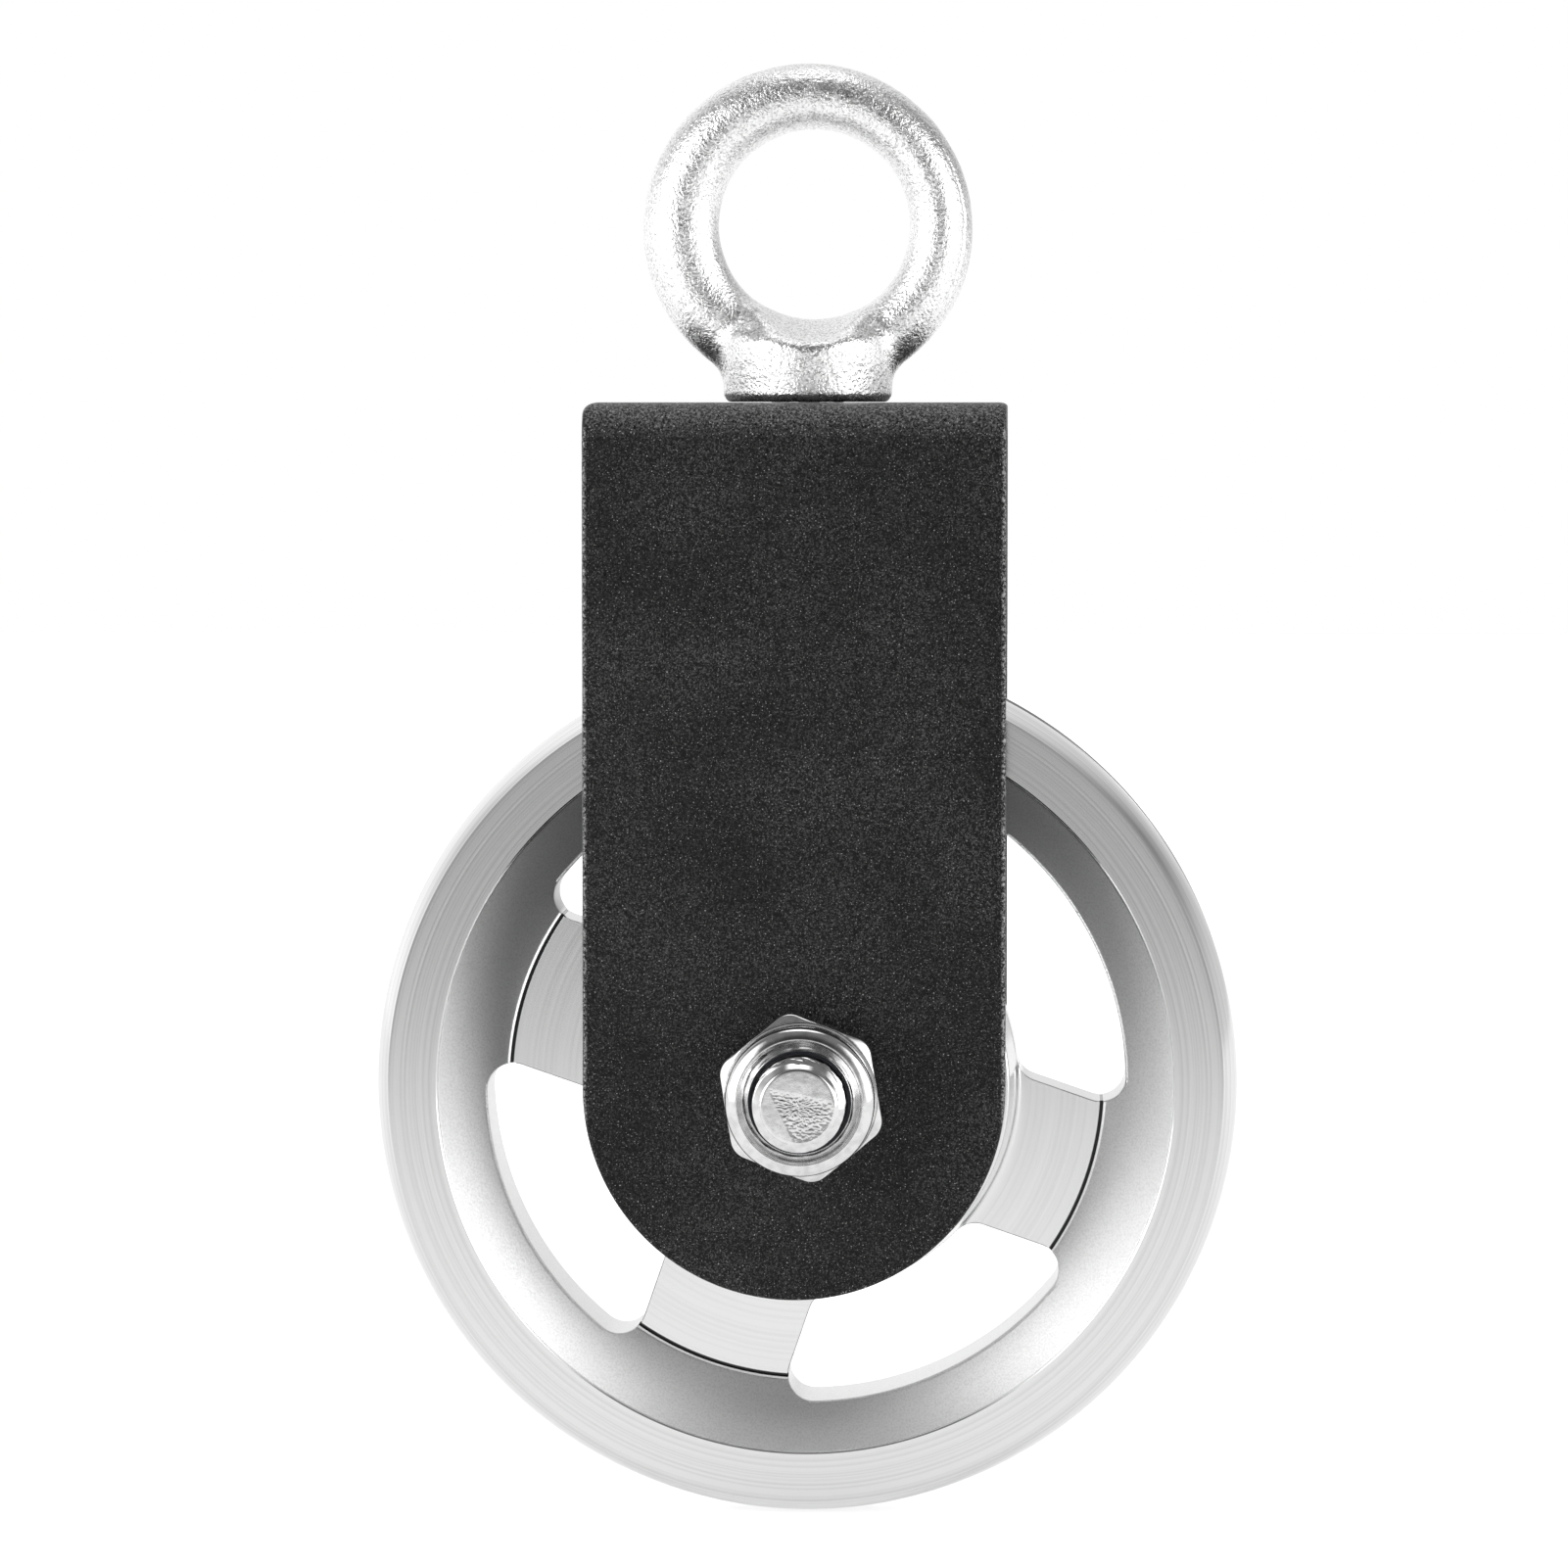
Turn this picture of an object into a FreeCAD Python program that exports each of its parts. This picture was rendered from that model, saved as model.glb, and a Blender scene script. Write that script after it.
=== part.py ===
import FreeCAD, Part
import math
import os

# A single sheave block that hangs from a swivelling eye.
# All sizes are millimetres. +Z is up and the origin is the centre of the eye's hole.
# The axle lies along Y. "Front" is the -Y side, where the axle nut is.

# ---- main places -------------------------------------------------------------
EYE_TO_AXLE = 94.0
EYE_TO_WEB_TOP = 19.1
AXLE_Z = -EYE_TO_AXLE
WEB_TOP_Z = -EYE_TO_WEB_TOP

# ---- sheave --------------------------------------------------------------------
SHEAVE_RADIUS = 47.5
SHEAVE_HALF_WIDTH = 9.25
FACE_OUTER_RADIUS = 45.9
FACE_INNER_RADIUS = 40.4
LIP_CHAMFER = 0.2
SHOULDER_MID_RADIUS = 47.05
CREST_Y = 3.3
CREST_ROUND = 0.4
GROOVE_FLOOR_RADIUS = 41.0
GROOVE_ROUND = 2.4
GROOVE_WALL_ANGLE = 8.0
DISH_FOOT_RADIUS = 32.8
DISH_MID_RADIUS = 35.2
DISH_MID_Y = 5.72
WEB_HALF_WIDTH = 4.4
TOOL_GROOVE_WIDTH = 0.4
TOOL_GROOVE_DEPTH = 0.8
HUB_HALF_WIDTH = 11.0
HUB_FACE_RADIUS = 22.5
HUB_FOOT_RADIUS = 23.24
HUB_EDGE_ROUND = 0.4
HUB_FOOT_FILLET = 0.6
SEAT_SHOULDER_RADIUS = 12.6
SEAT_SHOULDER_HALF_WIDTH = 1.0
SEAT_CHAMFER = 0.5

SPOKE_COUNT = 4
SPOKE_WIDTH = 17.0
FIRST_SPOKE_ANGLE = 71.0
WINDOW_INNER_RADIUS = 23.35
WINDOW_OUTER_RADIUS = 35.2
WINDOW_CORNER = 2.8

# ---- ball bearings, 10 x 30 x 9 ------------------------------------------------
BEARING_BORE_RADIUS = 5.0
BEARING_OUTER_RADIUS = 15.0
BEARING_WIDTH = 9.0
INNER_LAND_RADIUS = 8.4
OUTER_LAND_RADIUS = 11.6
SHIELD_SEAT_RADIUS = 12.4
SHIELD_SEAT_DEPTH = 0.9
SHIELD_THICKNESS = 0.4
SHIELD_INNER_RADIUS = 8.75
RING_CHAMFER = 0.5
BALL_RADIUS = 2.38
BALL_COUNT = 8
BALL_PITCH_RADIUS = 10.0
RACE_CLEARANCE = 0.02
RACE_GROOVE_RADIUS = 2.46
CAGE_INNER_RADIUS = 9.0
CAGE_OUTER_RADIUS = 11.0
CAGE_BACK = 3.1
CAGE_MOUTH = 1.6
CAGE_POCKET_RADIUS = 2.5
BEARING_Y = SEAT_SHOULDER_HALF_WIDTH + BEARING_WIDTH / 2

# ---- bracket: one steel strap bent into a U -----------------------------------
STRAP_WIDTH = 46.0
STRAP_THICKNESS = 3.0
STRAP_OFFSET_X = -1.0
STRAP_HALF_DEPTH = 16.25
BEND_OUTER_RADIUS = 4.0
BEND_INNER_RADIUS = BEND_OUTER_RADIUS - STRAP_THICKNESS
END_ROUND_LIFT = 0.25
STRAP_EDGE_ROUND = 0.4
AXLE_HOLE_RADIUS = 5.1
PLATE_INNER_Y = STRAP_HALF_DEPTH - STRAP_THICKNESS
WEB_UNDER_Z = WEB_TOP_Z - STRAP_THICKNESS

# ---- axle: M10 bolt, lock nut with a nylon ring, spacers -------------------------
AXLE_RADIUS = 4.97
AXLE_LENGTH = 49.1
AXLE_END_FLAT_RADIUS = 4.07
HEX_ACROSS_FLATS = 16.5
HEAD_HEIGHT = 6.4
NUT_HEX_HEIGHT = 7.0
NUT_HEIGHT = 11.7
NUT_BORE_RADIUS = 5.0
NUT_COLLAR_RADIUS = 8.05
NUT_COLLAR_ROUND = 1.1
NUT_RIM_RADIUS = 5.6
NUT_RIM_THICKNESS = 0.7
INSERT_RADIUS = 7.0
INSERT_SEAT = 7.6
HEX_CHAMFER_ANGLE = 30.0
SPACER_RADIUS = 8.2
SLEEVE_RADIUS = 7.0
SPACER_BORE_RADIUS = 5.05
NUT_TURN = 39.4
HEAD_TURN = 12.0

# ---- swivel: M8 bolt, flanged bush, thrust bearing 8 x 16 x 5 --------------------
SWIVEL_RADIUS = 4.0
SWIVEL_END_Z = -11.7
SWIVEL_HEX_ACROSS_FLATS = 13.0
SWIVEL_HEAD_HEIGHT = 5.3
SWIVEL_END_CHAMFER = 0.7
BUSH_BORE_RADIUS = 4.05
BUSH_RADIUS = 6.0
BUSH_FLANGE_RADIUS = 8.0
BUSH_FLANGE_THICKNESS = 1.2
BUSH_TOP_RECESS = 0.3
THRUST_HEIGHT = 5.0
THRUST_RADIUS = 8.0
THRUST_RACE_THICKNESS = 1.4
THRUST_BALL_RADIUS = 1.19
THRUST_BALL_COUNT = 9
THRUST_PITCH_RADIUS = 6.05
THRUST_GROOVE_RADIUS = 1.22
THRUST_UPPER_BORE_RADIUS = 4.1
THRUST_LOWER_BORE_RADIUS = 4.02
THRUST_CAGE_INNER_RADIUS = 4.5
THRUST_CAGE_OUTER_RADIUS = 7.6
THRUST_CAGE_THICKNESS = 1.1
THRUST_POCKET_RADIUS = 1.25

# ---- eye nut ---------------------------------------------------------------------
EYE_OUTER_RADIUS = 18.2
EYE_HOLE_RADIUS = 10.2
EYE_SECTION_RADIUS = 4.05
COLLAR_GAP = 0.06
COLLAR_BOTTOM_RADIUS = 8.9
COLLAR_TOP_RADIUS = 9.65
COLLAR_BOTTOM_ROUND = 0.9
COLLAR_TOP_ROUND = 1.0
COLLAR_HEIGHT = 7.0
EYE_THREAD_RADIUS = 4.02
NECK_INSET = 0.4
NECK_TOP_RADIUS = 7.6
NECK_TOP_Z = -8.5
NECK_SADDLE_RADIUS = 8.0

CENTRE = FreeCAD.Vector(0, 0, 0)
ALONG_X = FreeCAD.Vector(1, 0, 0)
ALONG_Y = FreeCAD.Vector(0, 1, 0)
ALONG_Z = FreeCAD.Vector(0, 0, 1)


# ---- shape helpers -----------------------------------------------------------------
def on_xy(a, b):
    return FreeCAD.Vector(a, b, 0)


def on_xz(a, b):
    return FreeCAD.Vector(a, 0, b)


def on_yz(a, b):
    return FreeCAD.Vector(0, a, b)


def outline_face(steps, plane):
    """Close an outline. Two numbers are a straight step to that point; four are an
    arc through the first pair to the second pair."""
    edges = []
    here = plane(*steps[0])
    for step in steps[1:] + steps[:1]:
        end = plane(*step[-2:])
        if len(step) == 4:
            edges.append(Part.Arc(here, plane(*step[:2]), end).toShape())
        elif here.distanceToPoint(end) > 1e-7:
            edges.append(Part.makeLine(here, end))
        here = end
    return Part.Face(Part.Wire(edges))


def turned_about_y(steps):
    """Revolve an outline of (radius, y) steps about the axle line."""
    return outline_face(steps, on_xy).revolve(CENTRE, ALONG_Y, 360)


def turned_about_z(steps):
    """Revolve an outline of (radius, z) steps about the swivel line."""
    return outline_face(steps, on_xz).revolve(CENTRE, ALONG_Z, 360)


def tube_y(inner, outer, y_low, y_high):
    return turned_about_y([(inner, y_low), (outer, y_low), (outer, y_high), (inner, y_high)])


def tube_z(inner, outer, z_low, z_high):
    return turned_about_z([(inner, z_low), (outer, z_low), (outer, z_high), (inner, z_high)])


def rod_y(radius, y_low, y_high):
    return Part.makeCylinder(radius, y_high - y_low, FreeCAD.Vector(0, y_low, 0), ALONG_Y)


def arc_middle(centre, radius, angle):
    """The point of a rounding arc at the given angle, in degrees."""
    turn = math.radians(angle)
    return (centre[0] + radius * math.cos(turn), centre[1] + radius * math.sin(turn))


def hex_prism(across_flats, height, turn):
    """A hexagonal prism on the XY plane that rises along +Z."""
    corner = across_flats / 2 / math.cos(math.radians(30))
    ring = []
    for step in range(6):
        angle = math.radians(turn + 60 * step)
        ring.append(FreeCAD.Vector(corner * math.cos(angle), corner * math.sin(angle), 0))
    face = Part.Face(Part.makePolygon(ring + ring[:1]))
    return face.extrude(ALONG_Z * height)


def chamfered_hex(across_flats, height, turn, top, bottom):
    """A hexagon whose corners are turned down to its flats at the chosen ends."""
    flat = across_flats / 2
    corner = flat / math.cos(math.radians(30))
    drop = (corner - flat) * math.tan(math.radians(HEX_CHAMFER_ANGLE))
    steps = [(0, 0)]
    steps += [(flat, 0), (corner, drop)] if bottom else [(corner, 0)]
    steps += [(corner, height - drop), (flat, height)] if top else [(corner, height)]
    steps += [(0, height)]
    return hex_prism(across_flats, height, turn).common(turned_about_z(steps))


def laid_along_y(shape, y_foot, towards):
    """Lay a shape that rises along +Z down along -Y or +Y, with its foot at y_foot."""
    shape.rotate(CENTRE, ALONG_X, -90 * towards)
    shape.translate(FreeCAD.Vector(0, y_foot, 0))
    return shape


def at_axle(shape):
    shape.translate(FreeCAD.Vector(0, 0, AXLE_Z))
    return shape


def mirrored_front_to_back(shape):
    return shape.mirror(CENTRE, ALONG_Y)


# ---- sheave ------------------------------------------------------------------------
def sheave_half():
    """The turned wheel from its middle plane to its rear face, without windows."""
    wall = math.radians(GROOVE_WALL_ANGLE)
    round_centre = (GROOVE_FLOOR_RADIUS + GROOVE_ROUND, 0)
    wall_foot = arc_middle(round_centre, GROOVE_ROUND, 90 + GROOVE_WALL_ANGLE)
    round_middle = arc_middle(round_centre, GROOVE_ROUND, 135 + GROOVE_WALL_ANGLE / 2)
    crest_centre = (SHEAVE_RADIUS - CREST_ROUND, CREST_Y)
    wall_top_r = crest_centre[0] + CREST_ROUND * math.sin(wall)
    wall_top_y = wall_foot[1] + (wall_top_r - wall_foot[0]) * math.tan(wall)
    crest_middle = arc_middle(crest_centre, CREST_ROUND, -45)
    hub_round_middle = arc_middle(
        (HUB_FACE_RADIUS - HUB_EDGE_ROUND, HUB_HALF_WIDTH - HUB_EDGE_ROUND), HUB_EDGE_ROUND, 45)
    foot_centre = (HUB_FOOT_RADIUS + HUB_FOOT_FILLET, WEB_HALF_WIDTH + HUB_FOOT_FILLET)
    foot_middle = arc_middle(foot_centre, HUB_FOOT_FILLET, 225)
    groove_floor = WEB_HALF_WIDTH - TOOL_GROOVE_DEPTH
    groove_inner = DISH_FOOT_RADIUS - TOOL_GROOVE_WIDTH
    groove_slant = TOOL_GROOVE_WIDTH / 4
    return turned_about_y([
        (SEAT_SHOULDER_RADIUS, 0),
        (SEAT_SHOULDER_RADIUS, SEAT_SHOULDER_HALF_WIDTH),
        (BEARING_OUTER_RADIUS, SEAT_SHOULDER_HALF_WIDTH),
        (BEARING_OUTER_RADIUS, HUB_HALF_WIDTH - SEAT_CHAMFER),
        (BEARING_OUTER_RADIUS + SEAT_CHAMFER, HUB_HALF_WIDTH),
        (HUB_FACE_RADIUS - HUB_EDGE_ROUND, HUB_HALF_WIDTH),
        (*hub_round_middle, HUB_FACE_RADIUS, HUB_HALF_WIDTH - HUB_EDGE_ROUND),
        (HUB_FOOT_RADIUS, WEB_HALF_WIDTH + HUB_FOOT_FILLET),
        (*foot_middle, HUB_FOOT_RADIUS + HUB_FOOT_FILLET, WEB_HALF_WIDTH),
        (groove_inner, WEB_HALF_WIDTH),
        (groove_inner + groove_slant, groove_floor),
        (DISH_FOOT_RADIUS - groove_slant, groove_floor),
        (DISH_FOOT_RADIUS, WEB_HALF_WIDTH),
        (DISH_MID_RADIUS, DISH_MID_Y, FACE_INNER_RADIUS, SHEAVE_HALF_WIDTH - LIP_CHAMFER),
        (FACE_INNER_RADIUS + LIP_CHAMFER, SHEAVE_HALF_WIDTH),
        (FACE_OUTER_RADIUS, SHEAVE_HALF_WIDTH),
        (SHOULDER_MID_RADIUS, (SHEAVE_HALF_WIDTH + CREST_Y) / 2, SHEAVE_RADIUS, CREST_Y),
        (*crest_middle, wall_top_r, wall_top_y),
        wall_foot,
        (*round_middle, GROOVE_FLOOR_RADIUS, 0),
    ])


def sheave_windows():
    """The four rounded windows between the spokes, as solids to take away."""
    length = 4 * SHEAVE_HALF_WIDTH
    ring = tube_y(WINDOW_INNER_RADIUS, WINDOW_OUTER_RADIUS, -length / 2, length / 2)
    for spoke in range(SPOKE_COUNT // 2):
        bar = Part.makeBox(4 * WINDOW_OUTER_RADIUS, length * 2, SPOKE_WIDTH)
        bar.translate(FreeCAD.Vector(-2 * WINDOW_OUTER_RADIUS, -length, -SPOKE_WIDTH / 2))
        bar.rotate(CENTRE, ALONG_Y, -FIRST_SPOKE_ANGLE - 360 / SPOKE_COUNT * spoke)
        ring = ring.cut(bar)
    windows = []
    for window in ring.Solids:
        corners = []
        for edge in window.Edges:
            ends = [vertex.Point for vertex in edge.Vertexes]
            if len(ends) == 2 and abs(ends[0].y - ends[1].y) > length - 1:
                corners.append(edge)
        windows.append(window.makeFillet(WINDOW_CORNER, corners))
    return windows


def make_sheave():
    half = sheave_half()
    wheel = half.fuse(mirrored_front_to_back(half)).removeSplitter()
    for window in sheave_windows():
        wheel = wheel.cut(window)
    return at_axle(wheel)


# ---- ball bearings -------------------------------------------------------------------
def ball_torus():
    """The ring of space that the raceway grooves leave round the balls."""
    return Part.makeTorus(BALL_PITCH_RADIUS, RACE_GROOVE_RADIUS, CENTRE, ALONG_Y)


def bearing_inner_ring():
    half = BEARING_WIDTH / 2
    body = turned_about_y([
        (BEARING_BORE_RADIUS, -half + RING_CHAMFER),
        (BEARING_BORE_RADIUS + RING_CHAMFER, -half),
        (INNER_LAND_RADIUS, -half),
        (INNER_LAND_RADIUS, half),
        (BEARING_BORE_RADIUS + RING_CHAMFER, half),
        (BEARING_BORE_RADIUS, half - RING_CHAMFER),
    ])
    return body.cut(ball_torus())


def bearing_outer_ring():
    half = BEARING_WIDTH / 2
    seat = half - SHIELD_SEAT_DEPTH
    body = turned_about_y([
        (OUTER_LAND_RADIUS, -seat),
        (SHIELD_SEAT_RADIUS, -seat),
        (SHIELD_SEAT_RADIUS, -half),
        (BEARING_OUTER_RADIUS - RING_CHAMFER, -half),
        (BEARING_OUTER_RADIUS, -half + RING_CHAMFER),
        (BEARING_OUTER_RADIUS, half - RING_CHAMFER),
        (BEARING_OUTER_RADIUS - RING_CHAMFER, half),
        (SHIELD_SEAT_RADIUS, half),
        (SHIELD_SEAT_RADIUS, seat),
        (OUTER_LAND_RADIUS, seat),
    ])
    return body.cut(ball_torus())


def bearing_shield(towards):
    """A pressed steel shield on one side of the bearing, stepped towards its bore."""
    seat = BEARING_WIDTH / 2 - SHIELD_SEAT_DEPTH
    top = seat + SHIELD_THICKNESS
    step = SHIELD_THICKNESS / 2
    step_radius = (SHIELD_INNER_RADIUS + SHIELD_SEAT_RADIUS) / 2
    disc = turned_about_y([
        (SHIELD_INNER_RADIUS, seat + step),
        (step_radius, seat + step),
        (step_radius, seat),
        (SHIELD_SEAT_RADIUS, seat),
        (SHIELD_SEAT_RADIUS, top),
        (step_radius + SHIELD_THICKNESS, top),
        (step_radius + SHIELD_THICKNESS, top + step),
        (SHIELD_INNER_RADIUS, top + step),
    ])
    return disc if towards > 0 else mirrored_front_to_back(disc)


def ball_places(radius, count):
    """Evenly spaced places round a circle, as (cosine, sine) times the radius."""
    places = []
    for index in range(count):
        angle = 2 * math.pi * index / count
        places.append((radius * math.cos(angle), radius * math.sin(angle)))
    return places


def bearing_balls():
    balls = []
    for x, z in ball_places(BALL_PITCH_RADIUS, BALL_COUNT):
        balls.append(Part.makeSphere(BALL_RADIUS - RACE_CLEARANCE, FreeCAD.Vector(x, 0, z)))
    return Part.makeCompound(balls)


def bearing_cage():
    """A snap-in crown cage: a ring with a round pocket drilled through it for each ball."""
    crown = tube_y(CAGE_INNER_RADIUS, CAGE_OUTER_RADIUS, -CAGE_MOUTH, CAGE_BACK)
    for x, z in ball_places(1, BALL_COUNT):
        outwards = FreeCAD.Vector(x, 0, z)
        start = outwards * (CAGE_INNER_RADIUS - 1)
        length = CAGE_OUTER_RADIUS - CAGE_INNER_RADIUS + 2
        crown = crown.cut(Part.makeCylinder(CAGE_POCKET_RADIUS, length, start, outwards))
    return crown


def at_bearing(shape, side):
    shape.translate(FreeCAD.Vector(0, side * BEARING_Y, 0))
    return at_axle(shape)


def bearing_parts(name, side):
    """Every piece of one bearing. side is -1 at the front and +1 at the rear."""
    return {
        name + "_inner_ring": at_bearing(bearing_inner_ring(), side),
        name + "_outer_ring": at_bearing(bearing_outer_ring(), side),
        name + "_balls": at_bearing(bearing_balls(), side),
        name + "_cage": at_bearing(bearing_cage(), side),
        name + "_outer_shield": at_bearing(bearing_shield(side), side),
        name + "_inner_shield": at_bearing(bearing_shield(-side), side),
    }


# ---- bracket ---------------------------------------------------------------------------
def bracket_side():
    """The bent strap seen from the side, as wide as the strap."""
    out = STRAP_HALF_DEPTH
    inn = PLATE_INNER_Y
    foot = AXLE_Z - STRAP_WIDTH
    bend_z = WEB_TOP_Z - BEND_OUTER_RADIUS
    bend_y = out - BEND_OUTER_RADIUS
    outer = arc_middle((bend_y, bend_z), BEND_OUTER_RADIUS, 45)
    inner = arc_middle((bend_y, bend_z), BEND_INNER_RADIUS, 45)
    face = outline_face([
        (-out, foot),
        (-out, bend_z),
        (-outer[0], outer[1], -bend_y, WEB_TOP_Z),
        (bend_y, WEB_TOP_Z),
        (*outer, out, bend_z),
        (out, foot),
        (inn, foot),
        (inn, bend_z),
        (*inner, bend_y, WEB_UNDER_Z),
        (-bend_y, WEB_UNDER_Z),
        (-inner[0], inner[1], -inn, bend_z),
        (-inn, foot),
    ], on_yz)
    solid = face.extrude(ALONG_X * STRAP_WIDTH)
    solid.translate(FreeCAD.Vector(STRAP_OFFSET_X - STRAP_WIDTH / 2, 0, 0))
    return solid


def bracket_front():
    """The strap seen from the front: straight sides and a round foot."""
    half = STRAP_WIDTH / 2
    left = STRAP_OFFSET_X - half
    right = STRAP_OFFSET_X + half
    round_z = AXLE_Z + END_ROUND_LIFT
    above = WEB_TOP_Z + STRAP_THICKNESS
    face = outline_face([
        (left, round_z),
        (STRAP_OFFSET_X, round_z - half, right, round_z),
        (right, above),
        (left, above),
    ], on_xz)
    solid = face.extrude(ALONG_Y * (4 * STRAP_HALF_DEPTH))
    solid.translate(ALONG_Y * (-2 * STRAP_HALF_DEPTH))
    return solid


def cut_edges(strap):
    """The edges along the strap's two long sides and round its feet."""
    half = STRAP_WIDTH / 2
    edges = []
    for edge in strap.Edges:
        middle = edge.valueAt((edge.FirstParameter + edge.LastParameter) / 2)
        from_centre = abs(middle.x - STRAP_OFFSET_X)
        on_side = abs(from_centre - half) < 0.01 and edge.BoundBox.XLength < 0.01
        on_foot = middle.z < AXLE_Z and edge.BoundBox.YLength < 0.01
        if on_side or on_foot:
            edges.append(edge)
    return edges


def make_bracket():
    strap = bracket_side().common(bracket_front())
    strap = strap.makeFillet(STRAP_EDGE_ROUND, cut_edges(strap))
    axle_hole = at_axle(rod_y(AXLE_HOLE_RADIUS, -2 * STRAP_HALF_DEPTH, 2 * STRAP_HALF_DEPTH))
    bush_hole = tube_z(0, BUSH_RADIUS, WEB_UNDER_Z - 1, WEB_TOP_Z + 1)
    return strap.cut(axle_hole).cut(bush_hole)


# ---- axle ------------------------------------------------------------------------------
def make_axle_bolt():
    """A hexagon head bolt from the rear, whose end stands out of the nut in front."""
    end_y = STRAP_HALF_DEPTH - AXLE_LENGTH
    chamfer = AXLE_RADIUS - AXLE_END_FLAT_RADIUS
    shank = turned_about_y([
        (0, end_y),
        (AXLE_END_FLAT_RADIUS, end_y),
        (AXLE_RADIUS, end_y + chamfer),
        (AXLE_RADIUS, STRAP_HALF_DEPTH + 1),
        (0, STRAP_HALF_DEPTH + 1),
    ])
    head = chamfered_hex(HEX_ACROSS_FLATS, HEAD_HEIGHT, HEAD_TURN, top=True, bottom=False)
    head = laid_along_y(head, STRAP_HALF_DEPTH, towards=1)
    return at_axle(shank.fuse(head).removeSplitter())


def make_axle_nut():
    """A lock nut: hexagon, round collar, and a rim rolled in over the nylon ring."""
    hexagon = chamfered_hex(HEX_ACROSS_FLATS, NUT_HEX_HEIGHT, NUT_TURN, top=True, bottom=True)
    rim_centre = (NUT_COLLAR_RADIUS - NUT_COLLAR_ROUND, NUT_HEIGHT - NUT_COLLAR_ROUND)
    rim_middle = arc_middle(rim_centre, NUT_COLLAR_ROUND, 45)
    collar = turned_about_z([
        (NUT_BORE_RADIUS, NUT_HEX_HEIGHT - 1),
        (NUT_COLLAR_RADIUS, NUT_HEX_HEIGHT - 1),
        (NUT_COLLAR_RADIUS, rim_centre[1]),
        (*rim_middle, rim_centre[0], NUT_HEIGHT),
        (NUT_RIM_RADIUS, NUT_HEIGHT),
        (NUT_RIM_RADIUS, NUT_HEIGHT - NUT_RIM_THICKNESS),
        (INSERT_RADIUS, NUT_HEIGHT - NUT_RIM_THICKNESS),
        (INSERT_RADIUS, INSERT_SEAT),
        (NUT_BORE_RADIUS, INSERT_SEAT),
    ])
    bore = Part.makeCylinder(NUT_BORE_RADIUS, NUT_HEX_HEIGHT)
    nut = hexagon.cut(bore).fuse(collar).removeSplitter()
    return at_axle(laid_along_y(nut, -STRAP_HALF_DEPTH, towards=-1))


def make_nut_insert():
    ring = tube_z(NUT_BORE_RADIUS, INSERT_RADIUS, INSERT_SEAT, NUT_HEIGHT - NUT_RIM_THICKNESS)
    return at_axle(laid_along_y(ring, -STRAP_HALF_DEPTH, towards=-1))


def make_spacer(side):
    """The collar between one bearing's inner ring and the plate beside it."""
    near = SEAT_SHOULDER_HALF_WIDTH + BEARING_WIDTH
    low, high = sorted([side * near, side * PLATE_INNER_Y])
    return at_axle(tube_y(SPACER_BORE_RADIUS, SPACER_RADIUS, low, high))


def make_centre_sleeve():
    reach = SEAT_SHOULDER_HALF_WIDTH
    return at_axle(tube_y(SPACER_BORE_RADIUS, SLEEVE_RADIUS, -reach, reach))


# ---- swivel ------------------------------------------------------------------------------
FLANGE_UNDER_Z = WEB_UNDER_Z - BUSH_FLANGE_THICKNESS
THRUST_MIDDLE_Z = FLANGE_UNDER_Z - THRUST_HEIGHT / 2
SWIVEL_HEAD_TOP_Z = FLANGE_UNDER_Z - THRUST_HEIGHT


def make_swivel_bush():
    return turned_about_z([
        (BUSH_BORE_RADIUS, FLANGE_UNDER_Z),
        (BUSH_FLANGE_RADIUS, FLANGE_UNDER_Z),
        (BUSH_FLANGE_RADIUS, WEB_UNDER_Z),
        (BUSH_RADIUS, WEB_UNDER_Z),
        (BUSH_RADIUS, WEB_TOP_Z - BUSH_TOP_RECESS),
        (BUSH_BORE_RADIUS, WEB_TOP_Z - BUSH_TOP_RECESS),
    ])


def thrust_race(z_low, bore_radius):
    race = tube_z(bore_radius, THRUST_RADIUS, z_low, z_low + THRUST_RACE_THICKNESS)
    middle = FreeCAD.Vector(0, 0, THRUST_MIDDLE_Z)
    return race.cut(Part.makeTorus(THRUST_PITCH_RADIUS, THRUST_GROOVE_RADIUS, middle, ALONG_Z))


def make_thrust_upper_race():
    return thrust_race(FLANGE_UNDER_Z - THRUST_RACE_THICKNESS, THRUST_UPPER_BORE_RADIUS)


def make_thrust_lower_race():
    return thrust_race(SWIVEL_HEAD_TOP_Z, THRUST_LOWER_BORE_RADIUS)


def make_thrust_balls():
    balls = []
    for x, y in ball_places(THRUST_PITCH_RADIUS, THRUST_BALL_COUNT):
        balls.append(Part.makeSphere(THRUST_BALL_RADIUS, FreeCAD.Vector(x, y, THRUST_MIDDLE_Z)))
    return Part.makeCompound(balls)


def make_thrust_cage():
    low = THRUST_MIDDLE_Z - THRUST_CAGE_THICKNESS / 2
    ring = tube_z(THRUST_CAGE_INNER_RADIUS, THRUST_CAGE_OUTER_RADIUS, low,
                  low + THRUST_CAGE_THICKNESS)
    for x, y in ball_places(THRUST_PITCH_RADIUS, THRUST_BALL_COUNT):
        foot = FreeCAD.Vector(x, y, low - 1)
        ring = ring.cut(Part.makeCylinder(THRUST_POCKET_RADIUS, THRUST_CAGE_THICKNESS + 2, foot))
    return ring


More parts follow.
